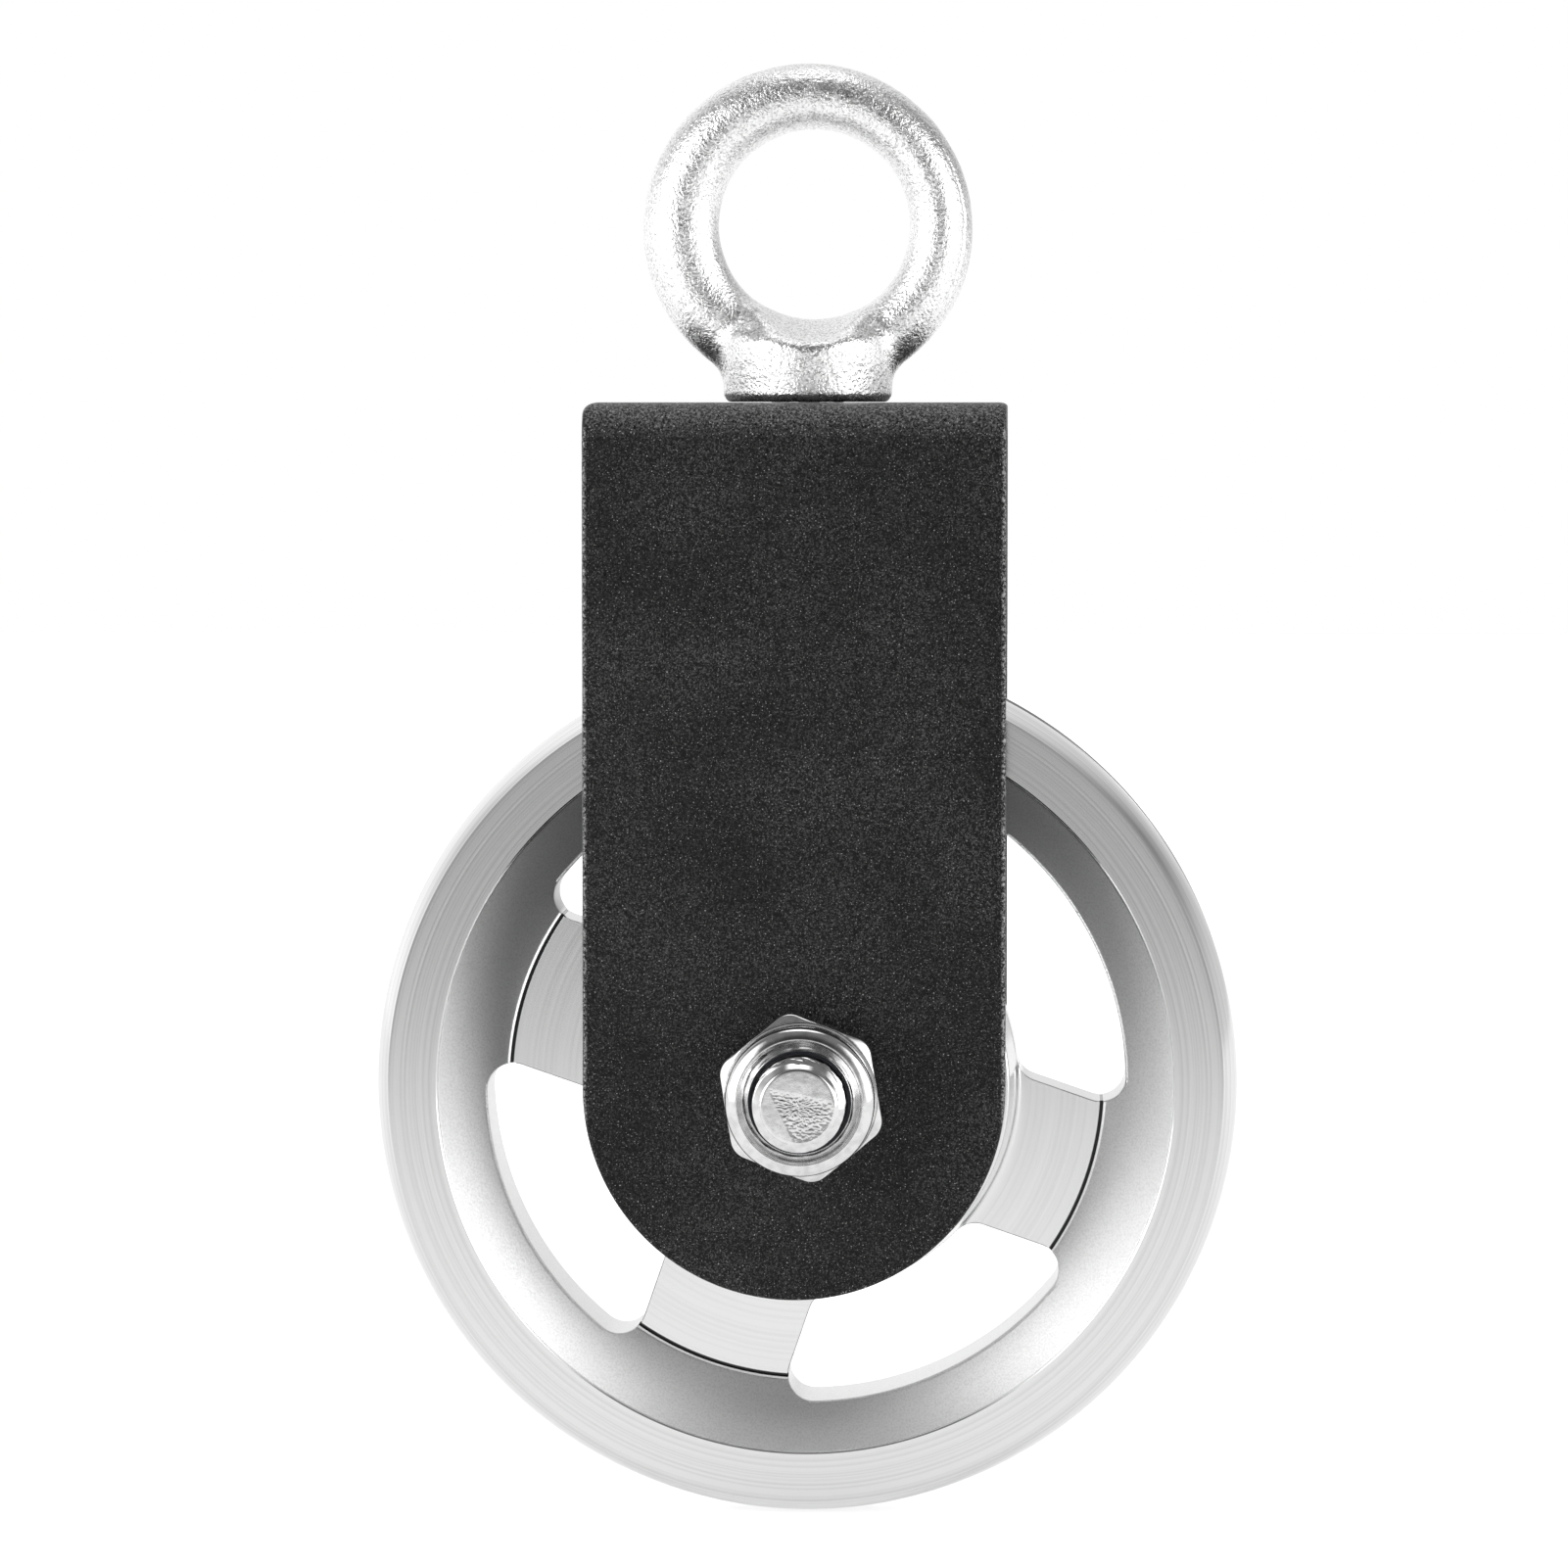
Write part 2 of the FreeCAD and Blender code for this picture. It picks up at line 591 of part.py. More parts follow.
def make_swivel_bolt():
    """A hexagon head bolt that hangs in the eye nut and carries the bracket's web."""
    head = chamfered_hex(SWIVEL_HEX_ACROSS_FLATS, SWIVEL_HEAD_HEIGHT, 0, top=False, bottom=True)
    head.translate(FreeCAD.Vector(0, 0, SWIVEL_HEAD_TOP_Z - SWIVEL_HEAD_HEIGHT))
    shank = turned_about_z([
        (0, SWIVEL_HEAD_TOP_Z - 1),
        (SWIVEL_RADIUS, SWIVEL_HEAD_TOP_Z - 1),
        (SWIVEL_RADIUS, SWIVEL_END_Z - SWIVEL_END_CHAMFER),
        (SWIVEL_RADIUS - SWIVEL_END_CHAMFER, SWIVEL_END_Z),
        (0, SWIVEL_END_Z),
    ])
    return head.fuse(shank).removeSplitter()


# ---- eye nut -------------------------------------------------------------------------------
def eye_ring():
    """A round-section ring; its hole is trimmed to a narrow cylindrical land."""
    return Part.makeTorus(EYE_OUTER_RADIUS - EYE_SECTION_RADIUS, EYE_SECTION_RADIUS,
                          CENTRE, ALONG_Y)


def eye_collar():
    """The barrel-shaped foot of the eye nut, on the swivel line."""
    foot = WEB_TOP_Z + COLLAR_GAP
    top = foot + COLLAR_HEIGHT
    low_round = arc_middle(
        (COLLAR_BOTTOM_RADIUS - COLLAR_BOTTOM_ROUND, foot + COLLAR_BOTTOM_ROUND),
        COLLAR_BOTTOM_ROUND, -45)
    high_round = arc_middle(
        (COLLAR_TOP_RADIUS - COLLAR_TOP_ROUND, top - COLLAR_TOP_ROUND), COLLAR_TOP_ROUND, 45)
    return turned_about_z([
        (0, foot),
        (COLLAR_BOTTOM_RADIUS - COLLAR_BOTTOM_ROUND, foot),
        (*low_round, COLLAR_BOTTOM_RADIUS, foot + COLLAR_BOTTOM_ROUND),
        (COLLAR_TOP_RADIUS, top - COLLAR_TOP_ROUND),
        (*high_round, COLLAR_TOP_RADIUS - COLLAR_TOP_ROUND, top),
        (0, top),
    ])


def eye_neck():
    """The saddle that spreads the foot of the ring over the collar."""
    foot = WEB_TOP_Z + COLLAR_GAP + COLLAR_HEIGHT - COLLAR_TOP_ROUND
    neck = turned_about_z([
        (0, foot),
        (COLLAR_TOP_RADIUS - NECK_INSET, foot),
        (NECK_TOP_RADIUS, NECK_TOP_Z),
        (0, NECK_TOP_Z),
    ])
    reach = NECK_SADDLE_RADIUS
    wide = EYE_HOLE_RADIUS + reach
    middle = arc_middle((wide, 0), reach, 180)
    far = 2 * reach
    saddle = turned_about_y([
        (0, -far),
        (wide, -far),
        (wide, -reach),
        (*middle, wide, reach),
        (wide, far),
        (0, far),
    ])
    return neck.cut(saddle)


def make_eye_nut():
    body = eye_ring().fuse([eye_collar(), eye_neck()]).removeSplitter()
    hole = rod_y(EYE_HOLE_RADIUS, -2 * COLLAR_TOP_RADIUS, 2 * COLLAR_TOP_RADIUS)
    foot = WEB_TOP_Z + COLLAR_GAP
    thread = Part.makeCylinder(EYE_THREAD_RADIUS, -foot, FreeCAD.Vector(0, 0, foot))
    return body.cut(hole).cut(thread)


# ---- all parts -------------------------------------------------------------------------------
def all_parts():
    parts = {
        "eye_nut": make_eye_nut(),
        "swivel_bolt": make_swivel_bolt(),
        "swivel_bush": make_swivel_bush(),
        "thrust_upper_race": make_thrust_upper_race(),
        "thrust_lower_race": make_thrust_lower_race(),
        "thrust_balls": make_thrust_balls(),
        "thrust_cage": make_thrust_cage(),
        "bracket": make_bracket(),
        "axle_bolt": make_axle_bolt(),
        "axle_nut": make_axle_nut(),
        "nut_insert": make_nut_insert(),
        "front_spacer": make_spacer(-1),
        "rear_spacer": make_spacer(1),
        "centre_sleeve": make_centre_sleeve(),
        "sheave": make_sheave(),
    }
    parts.update(bearing_parts("front", -1))
    parts.update(bearing_parts("rear", 1))
    return parts


os.makedirs("parts", exist_ok=True)
for name, shape in all_parts().items():
    shape.exportStep("parts/" + name + ".step")
    print(name, "solids", len(shape.Solids), "valid", shape.isValid(),
          "volume", round(shape.Volume, 1))
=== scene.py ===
import bmesh
import bpy
import math
import numpy as np
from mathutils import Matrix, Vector, noise


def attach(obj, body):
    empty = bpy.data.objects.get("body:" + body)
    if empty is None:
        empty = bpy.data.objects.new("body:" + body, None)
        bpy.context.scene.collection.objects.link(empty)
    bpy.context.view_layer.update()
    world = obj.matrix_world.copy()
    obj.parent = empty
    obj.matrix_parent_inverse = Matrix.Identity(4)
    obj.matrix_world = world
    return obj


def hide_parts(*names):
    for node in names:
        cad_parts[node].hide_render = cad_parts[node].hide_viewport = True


# A single sheave block that hangs from a swivelling eye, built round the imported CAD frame.
# Shapes are worked out in millimetres in the CAD frame and scaled to metres at the end.
# The origin is the centre of the eye's hole, +Z is up and -Y is the front.

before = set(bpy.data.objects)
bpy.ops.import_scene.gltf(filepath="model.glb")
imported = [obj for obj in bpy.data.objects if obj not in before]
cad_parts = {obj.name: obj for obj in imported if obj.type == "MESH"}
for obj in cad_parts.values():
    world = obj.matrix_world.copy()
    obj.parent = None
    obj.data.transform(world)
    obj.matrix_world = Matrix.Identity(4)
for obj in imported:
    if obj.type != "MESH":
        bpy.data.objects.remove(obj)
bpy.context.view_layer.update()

MM = 0.001
AXLE_Z = -94.0
WEB_TOP_Z = -19.1
AXLE_POINT = (0, 0, AXLE_Z * MM)


# ---- mesh helpers ------------------------------------------------------------------------
def link_mesh(name, points, faces):
    """A new piece from points in millimetres."""
    mesh = bpy.data.meshes.new(name)
    mesh.from_pydata((np.asarray(points, float) * MM).tolist(), [], faces)
    piece = bpy.data.objects.new(name, mesh)
    bpy.context.scene.collection.objects.link(piece)
    return piece


def outward(piece, smooth_angle):
    """Point every face outward, and shade smooth except across sharp edges."""
    work = bmesh.new()
    work.from_mesh(piece.data)
    bmesh.ops.remove_doubles(work, verts=work.verts, dist=1e-7)
    bmesh.ops.recalc_face_normals(work, faces=work.faces)
    work.to_mesh(piece.data)
    work.free()
    piece.data.shade_smooth()
    piece.data.set_sharp_from_angle(angle=math.radians(smooth_angle))
    return piece


def skin_faces(rows, around, closed):
    """Quads over rows of points that each go once round. Open ends get a cap."""
    faces = []
    for row in range(rows if closed else rows - 1):
        here = row * around
        there = (row + 1) % rows * around
        for step in range(around):
            after = (step + 1) % around
            faces.append((here + step, here + after, there + after, there + step))
    if not closed:
        faces.append(tuple(range(around)))
        faces.append(tuple(range((rows - 1) * around, rows * around)))
    return faces


def skin(name, rows, closed, smooth_angle=30):
    """A new piece stretched over rows of points that each go once round."""
    rows = np.asarray(rows, float)
    faces = skin_faces(rows.shape[0], rows.shape[1], closed)
    return outward(link_mesh(name, rows.reshape(-1, 3), faces), smooth_angle)


def turn_angles(count):
    return np.arange(count) * (2 * math.pi / count)


def about_y(profile, count):
    """Rows of points for a profile of (radius, y) turned about the axle."""
    turns = turn_angles(count)
    rows = []
    for radius, y in profile:
        rows.append(np.stack([radius * np.cos(turns), np.full(count, y),
                              radius * np.sin(turns) + AXLE_Z], axis=1))
    return rows


def about_z(profile, count):
    """Rows of points for a profile of (radius, z) turned about the swivel line."""
    turns = turn_angles(count)
    rows = []
    for radius, z in profile:
        rows.append(np.stack([radius * np.cos(turns), radius * np.sin(turns),
                              np.full(count, z)], axis=1))
    return rows


def arc_through(start, middle, end, count):
    """Points from start to end along the arc through middle, without start itself."""
    (ax, ay), (bx, by), (cx, cy) = start, middle, end
    d = 2 * (ax * (by - cy) + bx * (cy - ay) + cx * (ay - by))
    a2, b2, c2 = ax * ax + ay * ay, bx * bx + by * by, cx * cx + cy * cy
    ux = (a2 * (by - cy) + b2 * (cy - ay) + c2 * (ay - by)) / d
    uy = (a2 * (cx - bx) + b2 * (ax - cx) + c2 * (bx - ax)) / d
    radius = math.hypot(ax - ux, ay - uy)
    first = math.atan2(ay - uy, ax - ux)
    via = math.atan2(by - uy, bx - ux)
    last = math.atan2(cy - uy, cx - ux)
    sweep = (last - first) % (2 * math.pi)
    if (via - first) % (2 * math.pi) > sweep:
        sweep -= 2 * math.pi
    return [(ux + radius * math.cos(first + sweep * k / count),
             uy + radius * math.sin(first + sweep * k / count)) for k in range(1, count + 1)]


def rounded(points, radii, count):
    """A closed outline whose corners are rounded; a radius of 0 keeps the corner."""
    made = []
    total = len(points)
    for index, radius in enumerate(radii):
        corner = np.array(points[index], float)
        if radius == 0:
            made.append(tuple(corner))
            continue
        back = np.array(points[index - 1], float) - corner
        ahead = np.array(points[(index + 1) % total], float) - corner
        back /= np.linalg.norm(back)
        ahead /= np.linalg.norm(ahead)
        half = math.acos(max(-1.0, min(1.0, float(back @ ahead)))) / 2
        reach = radius / math.tan(half)
        middle_way = (back + ahead) / np.linalg.norm(back + ahead)
        centre = corner + middle_way * radius / math.sin(half)
        start = corner + back * reach - centre
        end = corner + ahead * reach - centre
        swing = math.pi - 2 * half
        for k in range(count + 1):
            share = k / count
            blend = (math.sin((1 - share) * swing) * start + math.sin(share * swing) * end)
            made.append(tuple(centre + blend / math.sin(swing)))
    return made


def apply_boolean(piece, cutter, operation):
    """Join or cut a piece with another mesh, which is then removed."""
    step = piece.modifiers.new("cut", "BOOLEAN")
    step.object = cutter
    step.operation = operation
    step.solver = "EXACT"
    bake_modifiers(piece)
    bpy.data.objects.remove(cutter)


def bake_modifiers(piece):
    """Replace a piece's mesh with what its modifiers make of it."""
    ready = piece.evaluated_get(bpy.context.evaluated_depsgraph_get())
    mesh = bpy.data.meshes.new_from_object(ready)
    piece.modifiers.clear()
    piece.data = mesh


# ---- material helpers --------------------------------------------------------------------
class Finish:
    """A node-based material that is put together one step at a time."""

    def __init__(self, name, **sockets):
        self.material = bpy.data.materials.new(name)
        self.material.use_nodes = True
        self.tree = self.material.node_tree
        self.shader = self.tree.nodes["Principled BSDF"]
        for socket, value in sockets.items():
            self.shader.inputs[socket.replace("_", " ")].default_value = value
        self.place = self.node("ShaderNodeTexCoord").outputs["Object"]

    def node(self, kind, **settings):
        made = self.tree.nodes.new(kind)
        for key, value in settings.items():
            setattr(made, key, value)
        return made

    def feed(self, socket, value):
        if isinstance(value, bpy.types.NodeSocket):
            self.tree.links.new(value, socket)
        else:
            socket.default_value = value

    def math(self, operation, first, second=0.0):
        made = self.node("ShaderNodeMath", operation=operation)
        self.feed(made.inputs[0], first)
        self.feed(made.inputs[1], second)
        return made.outputs[0]

    def vector(self, operation, first, second):
        made = self.node("ShaderNodeVectorMath", operation=operation)
        self.feed(made.inputs[0], first)
        self.feed(made.inputs[1], second)
        return made.outputs["Value" if operation in ("LENGTH", "DOT_PRODUCT") else 0]

    def noise(self, scale, detail=2.0, roughness=0.5, place=None):
        made = self.node("ShaderNodeTexNoise")
        self.feed(made.inputs["Vector"], place or self.place)
        made.inputs["Scale"].default_value = scale
        made.inputs["Detail"].default_value = detail
        made.inputs["Roughness"].default_value = roughness
        return made.outputs["Fac"]

    def remap(self, value, from_low, from_high, to_low, to_high):
        made = self.node("ShaderNodeMapRange")
        for index, number in enumerate((value, from_low, from_high, to_low, to_high)):
            self.feed(made.inputs[index], number)
        return made.outputs[0]

    def mix(self, share, first, second):
        made = self.node("ShaderNodeMix", data_type="RGBA")
        self.feed(made.inputs[0], share)
        for socket, value in ((made.inputs[6], first), (made.inputs[7], second)):
            self.feed(socket, value)
        return made.outputs[2]

    def colour(self, value):
        self.feed(self.shader.inputs["Base Color"], value)

    def rough(self, value):
        self.feed(self.shader.inputs["Roughness"], value)

    def bump(self, height, strength, depth, under=None):
        """depth is in metres."""
        made = self.node("ShaderNodeBump")
        made.inputs["Strength"].default_value = strength
        made.inputs["Distance"].default_value = depth
        self.feed(made.inputs["Height"], height)
        if under is not None:
            self.feed(made.inputs["Normal"], under)
        return made.outputs["Normal"]

    def relief(self, normal):
        self.feed(self.shader.inputs["Normal"], normal)

    def from_axle(self):
        """(distance from the axle line, place along it)."""
        moved = self.vector("SUBTRACT", self.place, AXLE_POINT)
        flat = self.vector("MULTIPLY", moved, (1, 0, 1))
        split = self.node("ShaderNodeSeparateXYZ")
        self.feed(split.inputs[0], moved)
        return self.vector("LENGTH", flat, (0, 0, 0)), split.outputs["Y"]

    def rings(self, scale, detail=1.0):
        """Noise that is the same all round the axle, as turning leaves it."""
        radius, along = self.from_axle()
        joined = self.node("ShaderNodeCombineXYZ")
        self.feed(joined.inputs[0], radius)
        self.feed(joined.inputs[1], along)
        return self.noise(scale, detail, place=joined.outputs[0])

    def on(self, piece):
        piece.data.materials.clear()
        piece.data.materials.append(self.material)


def grey(value):
    return (value, value, value, 1.0)


# ---- sheave ------------------------------------------------------------------------------
HUB_FACE_Y = 11.0
FACE_Y = 9.25
WEB_HALF = 4.4
HUB_FOOT = (23.24, WEB_HALF + 0.6)
TOOL_GROOVE_Y = WEB_HALF - 0.8
WINDOW_INNER = 23.35
WINDOW_OUTER = 35.2
WINDOW_CORNER = 2.8
SPOKE_HALF_WIDTH = 8.5
DISH_MIDDLE = (WINDOW_OUTER, 5.72)
FACE_INNER = 40.6
CREST_RADIUS = 47.1
CREST_ROUND = 0.4
GROOVE_FLOOR = 41.0
GROOVE_ROUND = 2.4
WALL = math.radians(8)
SHEAVE_TURNS = 480
SPOKE_TURN = 71


def turning_marks(start, end, y, spacing, depth):
    """Shallow ring cuts in a flat turned face, at slightly uneven distances."""
    points = []
    count = int(abs(end - start) / spacing)
    for k in range(1, count):
        radius = start + (end - start) * (k + 0.25 * math.sin(k * 2.4)) / count
        ahead = math.copysign(0.07, end - start)
        cut = depth * (0.6 + 0.4 * math.sin(k * 1.7))
        points += [(radius - ahead, y), (radius, y - cut), (radius + ahead, y)]
    return points


def sheave_half_profile():
    """(radius, y) from the middle of the bore round to the middle of the rope groove."""
    wall_foot = (GROOVE_FLOOR + GROOVE_ROUND + GROOVE_ROUND * math.cos(math.pi / 2 + WALL),
                 GROOVE_ROUND * math.sin(math.pi / 2 + WALL))
    wall_top_radius = CREST_RADIUS + CREST_ROUND * math.sin(WALL)
    wall_top = (wall_top_radius,
                wall_foot[1] + (wall_top_radius - wall_foot[0]) * math.tan(WALL))
    floor_turn = math.radians(41)
    floor_middle = (GROOVE_FLOOR + GROOVE_ROUND - GROOVE_ROUND * math.cos(floor_turn),
                    GROOVE_ROUND * math.sin(floor_turn))
    points = [(12.6, 0), (12.6, 0.85), (12.75, 1.0), (15, 1.0), (15, HUB_FACE_Y - 0.5)]
    points += [(15.5, HUB_FACE_Y), (22.1, HUB_FACE_Y)]
    points += arc_through((22.1, HUB_FACE_Y), (22.383, 10.883), (22.5, 10.6), 5)
    points += [HUB_FOOT]
    points += arc_through(HUB_FOOT, (23.416, WEB_HALF + 0.176), (23.84, WEB_HALF), 6)
    points += turning_marks(24.0, 32.0, WEB_HALF, 0.55, 0.001)
    points += [(32.36, WEB_HALF), (32.42, WEB_HALF - 0.05), (32.46, TOOL_GROOVE_Y),
               (32.74, TOOL_GROOVE_Y), (32.79, WEB_HALF - 0.05), (32.85, WEB_HALF + 0.03)]
    points += arc_through((32.85, WEB_HALF + 0.03), DISH_MIDDLE, (40.4, 9.05), 26)
    points += [(40.45, 9.16), (FACE_INNER, FACE_Y)]
    points += turning_marks(FACE_INNER, 45.8, FACE_Y, 0.42, 0.004)
    points += [(45.78, FACE_Y), (45.86, 9.235)]
    points += arc_through((45.9, 9.2), (47.05, 6.275), (47.5, 3.35), 14)
    points += arc_through((47.5, 3.3), (47.383, 3.017), wall_top, 5)
    points += [(wall_top[0] + (wall_foot[0] - wall_top[0]) * k / 4,
                wall_top[1] + (wall_foot[1] - wall_top[1]) * k / 4) for k in (1, 2, 3)]
    points += [wall_foot]
    points += arc_through(wall_foot, floor_middle, (GROOVE_FLOOR, 0), 12)
    return points


def window_outline():
    """(x, z) of one window with the spokes along +X and +Z, and its outward direction."""
    side, corner = SPOKE_HALF_WIDTH, WINDOW_CORNER
    inner, outer = WINDOW_INNER, WINDOW_OUTER
    lane = side + corner
    near = (math.sqrt((inner + corner) ** 2 - lane ** 2), lane)
    far = (math.sqrt((outer - corner) ** 2 - lane ** 2), lane)
    quarter = []
    low = math.atan2(near[1], near[0])
    for angle in np.linspace(math.pi / 4, low, 24):
        quarter.append((inner * math.cos(angle), inner * math.sin(angle),
                        -math.cos(angle), -math.sin(angle)))
    for angle in np.linspace(math.pi + low, 1.5 * math.pi, 14)[1:]:
        quarter.append((near[0] + corner * math.cos(angle), near[1] + corner * math.sin(angle),
                        math.cos(angle), math.sin(angle)))
    for share in np.linspace(0, 1, 12)[1:]:
        quarter.append((near[0] + (far[0] - near[0]) * share, side, 0, -1))
    high = math.atan2(far[1], far[0])
    for angle in np.linspace(-math.pi / 2, high, 18)[1:]:
        quarter.append((far[0] + corner * math.cos(angle), far[1] + corner * math.sin(angle),
                        math.cos(angle), math.sin(angle)))
    for angle in np.linspace(high, math.pi / 4, 40)[1:]:
        quarter.append((outer * math.cos(angle), outer * math.sin(angle),
                        math.cos(angle), math.sin(angle)))
    other = [(z, x, dz, dx) for x, z, dx, dz in quarter[-2:0:-1]]
    return np.array(quarter + other)


def window_cutter(turn, surface):
    """A prism through one window that also breaks its edges a little."""
    outline = window_outline()
    cos, sin = math.cos(turn), math.sin(turn)
    place = outline[:, :2] @ np.array([[cos, sin], [-sin, cos]])
    away = outline[:, 2:] @ np.array([[cos, sin], [-sin, cos]])
    radius = np.hypot(place[:, 0], place[:, 1])
    edge = np.interp(radius, [WINDOW_INNER, 24.2], [0.04, 0.09])
    wide = place + away * edge[:, None]
    wide_radius = np.hypot(wide[:, 0], wide[:, 1])
    radii, depth = zip(*surface)
    face = np.interp(wide_radius, radii, depth)
    wall = np.interp(radius, radii, depth) - edge
    rows = []
    for ring, y in ((wide, np.full(len(face), -15.0)), (wide, -face), (place, -wall),
                    (place, wall), (wide, face), (wide, np.full(len(face), 15.0))):
        rows.append(np.stack([ring[:, 0], y, ring[:, 1] + AXLE_Z], axis=1))
    return skin("cutter", rows, closed=False)


def make_sheave():
    half = sheave_half_profile()
    other = [(radius, -y) for radius, y in half[-2:0:-1]]
    wheel = skin("sheave_turned", about_y(half + other, SHEAVE_TURNS), closed=True)
    first = next(k for k, point in enumerate(half) if point == HUB_FOOT)
    last = next(k for k, point in enumerate(half) if point[0] > 39)
    for quarter in range(4):
        turn = math.radians(SPOKE_TURN + 90 * quarter)
        apply_boolean(wheel, window_cutter(turn, half[first:last]), "DIFFERENCE")
    return outward(wheel, 28)


# ---- bracket -----------------------------------------------------------------------------
STRAP_HALF_WIDTH = 23.0
STRAP_X = -1.0
STRAP_HALF = 1.5
WEB_HALF_LENGTH = 12.25
BEND_MIDDLE_RADIUS = 2.5
BEND_Z = WEB_TOP_Z - 4.0
BEND_LENGTH = BEND_MIDDLE_RADIUS * math.pi / 2
PLATE_START = WEB_HALF_LENGTH + BEND_LENGTH
FOOT_CENTRE = PLATE_START + BEND_Z - (AXLE_Z + 0.25)
AXLE_HOLE_AT = PLATE_START + BEND_Z - AXLE_Z
AXLE_HOLE_RADIUS = 5.1
BUSH_HOLE_RADIUS = 6.0
OUTER_EDGE = 0.4
INNER_EDGE = 0.35
HOLE_EDGE = 0.2


def blank_ring(drawn, level):
    """The flat strap's outline, drawn in a little, at one level of its thickness."""
    ring = []
    for end in (1, -1):
        for angle in np.linspace(0, math.pi, 97):
            half = STRAP_HALF_WIDTH - drawn
            ring.append((half * end * math.cos(angle),
                         end * (FOOT_CENTRE + half * math.sin(angle)), level))
    return ring


def flat_blank():
    """The strap before it is bent, with its outer and inner edges rounded."""
    rows = []
    steps = 6
    turns = [math.pi / 2 * k / steps for k in range(steps + 1)]
    for turn in turns:
        rows.append(blank_ring(OUTER_EDGE * (1 - math.sin(turn)),
                               STRAP_HALF - OUTER_EDGE * (1 - math.cos(turn))))
    for turn in turns:
        rows.append(blank_ring(INNER_EDGE * (1 - math.cos(turn)),
                               -STRAP_HALF + INNER_EDGE * (1 - math.sin(turn))))
    return skin("bracket_coated", rows, closed=False)


def flat_hole(radius, x, s):
    """A cutter for one hole through the flat strap, wider at both faces."""
    rows = []
    turns = turn_angles(96)
    wide = radius + HOLE_EDGE
    for level, reach in ((-3, wide), (-STRAP_HALF - 0.001, wide),
                         (-STRAP_HALF + HOLE_EDGE, radius), (STRAP_HALF - HOLE_EDGE, radius),
                         (STRAP_HALF + 0.001, wide), (3, wide)):
        rows.append(np.stack([x + reach * np.cos(turns), s + reach * np.sin(turns),
                              np.full(len(turns), float(level))], axis=1))
    return skin("cutter", rows, closed=False)


def corner_draw(x, z):
    """How far the strap's long edges are drawn in near the top, more on the left."""
    reach = 1.3 if x < 0 else 0.5
    rise = min(max(0.0, z - (WEB_TOP_Z - reach)), reach)
    return -math.copysign(reach - math.sqrt(reach ** 2 - rise ** 2), x)


def bend_point(x, s, level):
    """Where a point of the flat strap goes once the strap is bent."""
    side = 1 if s > 0 else -1
    run = abs(s)
    if run <= WEB_HALF_LENGTH:
        return (x + STRAP_X, s, WEB_TOP_Z - STRAP_HALF + level)
    if run < PLATE_START:
        turn = (run - WEB_HALF_LENGTH) / BEND_MIDDLE_RADIUS
        reach = BEND_MIDDLE_RADIUS + level
        return (x + STRAP_X, side * (WEB_HALF_LENGTH + reach * math.sin(turn)),
                BEND_Z + reach * math.cos(turn))
    return (x + STRAP_X, side * (WEB_HALF_LENGTH + BEND_MIDDLE_RADIUS + level),
            BEND_Z - (run - PLATE_START))


def cut_across(work, s):
    """Add a line of edges across the flat strap, so that it can bend there."""
    everything = work.verts[:] + work.edges[:] + work.faces[:]
    bmesh.ops.bisect_plane(work, geom=everything, plane_co=(0, s * MM, 0), plane_no=(0, 1, 0))


def make_bracket():
    strap = flat_blank()
    apply_boolean(strap, flat_hole(BUSH_HOLE_RADIUS, -STRAP_X, 0), "DIFFERENCE")
    for end in (1, -1):
        hole = flat_hole(AXLE_HOLE_RADIUS, -STRAP_X, end * AXLE_HOLE_AT)
        apply_boolean(strap, hole, "DIFFERENCE")
    work = bmesh.new()
    work.from_mesh(strap.data)
    for end in (1, -1):
        for k in range(17):
            cut_across(work, end * (WEB_HALF_LENGTH + BEND_LENGTH * k / 16))
    for s in np.arange(-108, 109, 6.0):
        if abs(s) < WEB_HALF_LENGTH - 1 or abs(s) > PLATE_START + 1:
            cut_across(work, float(s))
    for vert in work.verts:
        x, s, level = (value / MM for value in vert.co)
        bent = Vector(bend_point(x, s, level))
        if abs(x) > 22:
            bent.x += corner_draw(x, bent.z)
        vert.co = bent * MM
    work.to_mesh(strap.data)
    work.free()
    return outward(strap, 40)


# ---- fasteners ---------------------------------------------------------------------------
HEX_FLAT = 8.25
PLATE_FACE_Y = 16.25
NUT_TURN = math.radians(39.4)
HEAD_TURN = math.radians(12)
BOLT_RADIUS = 4.95
BOLT_END_Y = -32.85
THREAD_PITCH = 1.5
THREAD_DEPTH = 0.87
THREAD_STOP_Y = -13.5
BOLT_AROUND = 216
SWIVEL_HEAD_Z = -33.6


def hex_reach(angle, flat, corner_round):
    """Distance from the axis to a hexagon's side, whose corners are slightly rounded."""
    sixth = math.pi / 3
    off = (angle + sixth / 2) % sixth - sixth / 2
    tangent = math.atan((flat * math.tan(sixth / 2) - corner_round * math.tan(sixth / 2)) / flat)
    if abs(off) <= tangent:
        return flat / math.cos(off)
    spin = sixth / 2 - abs(off)
    middle = (flat - corner_round) / math.cos(sixth / 2)
    return middle * math.cos(spin) + math.sqrt(corner_round ** 2 - (middle * math.sin(spin)) ** 2)


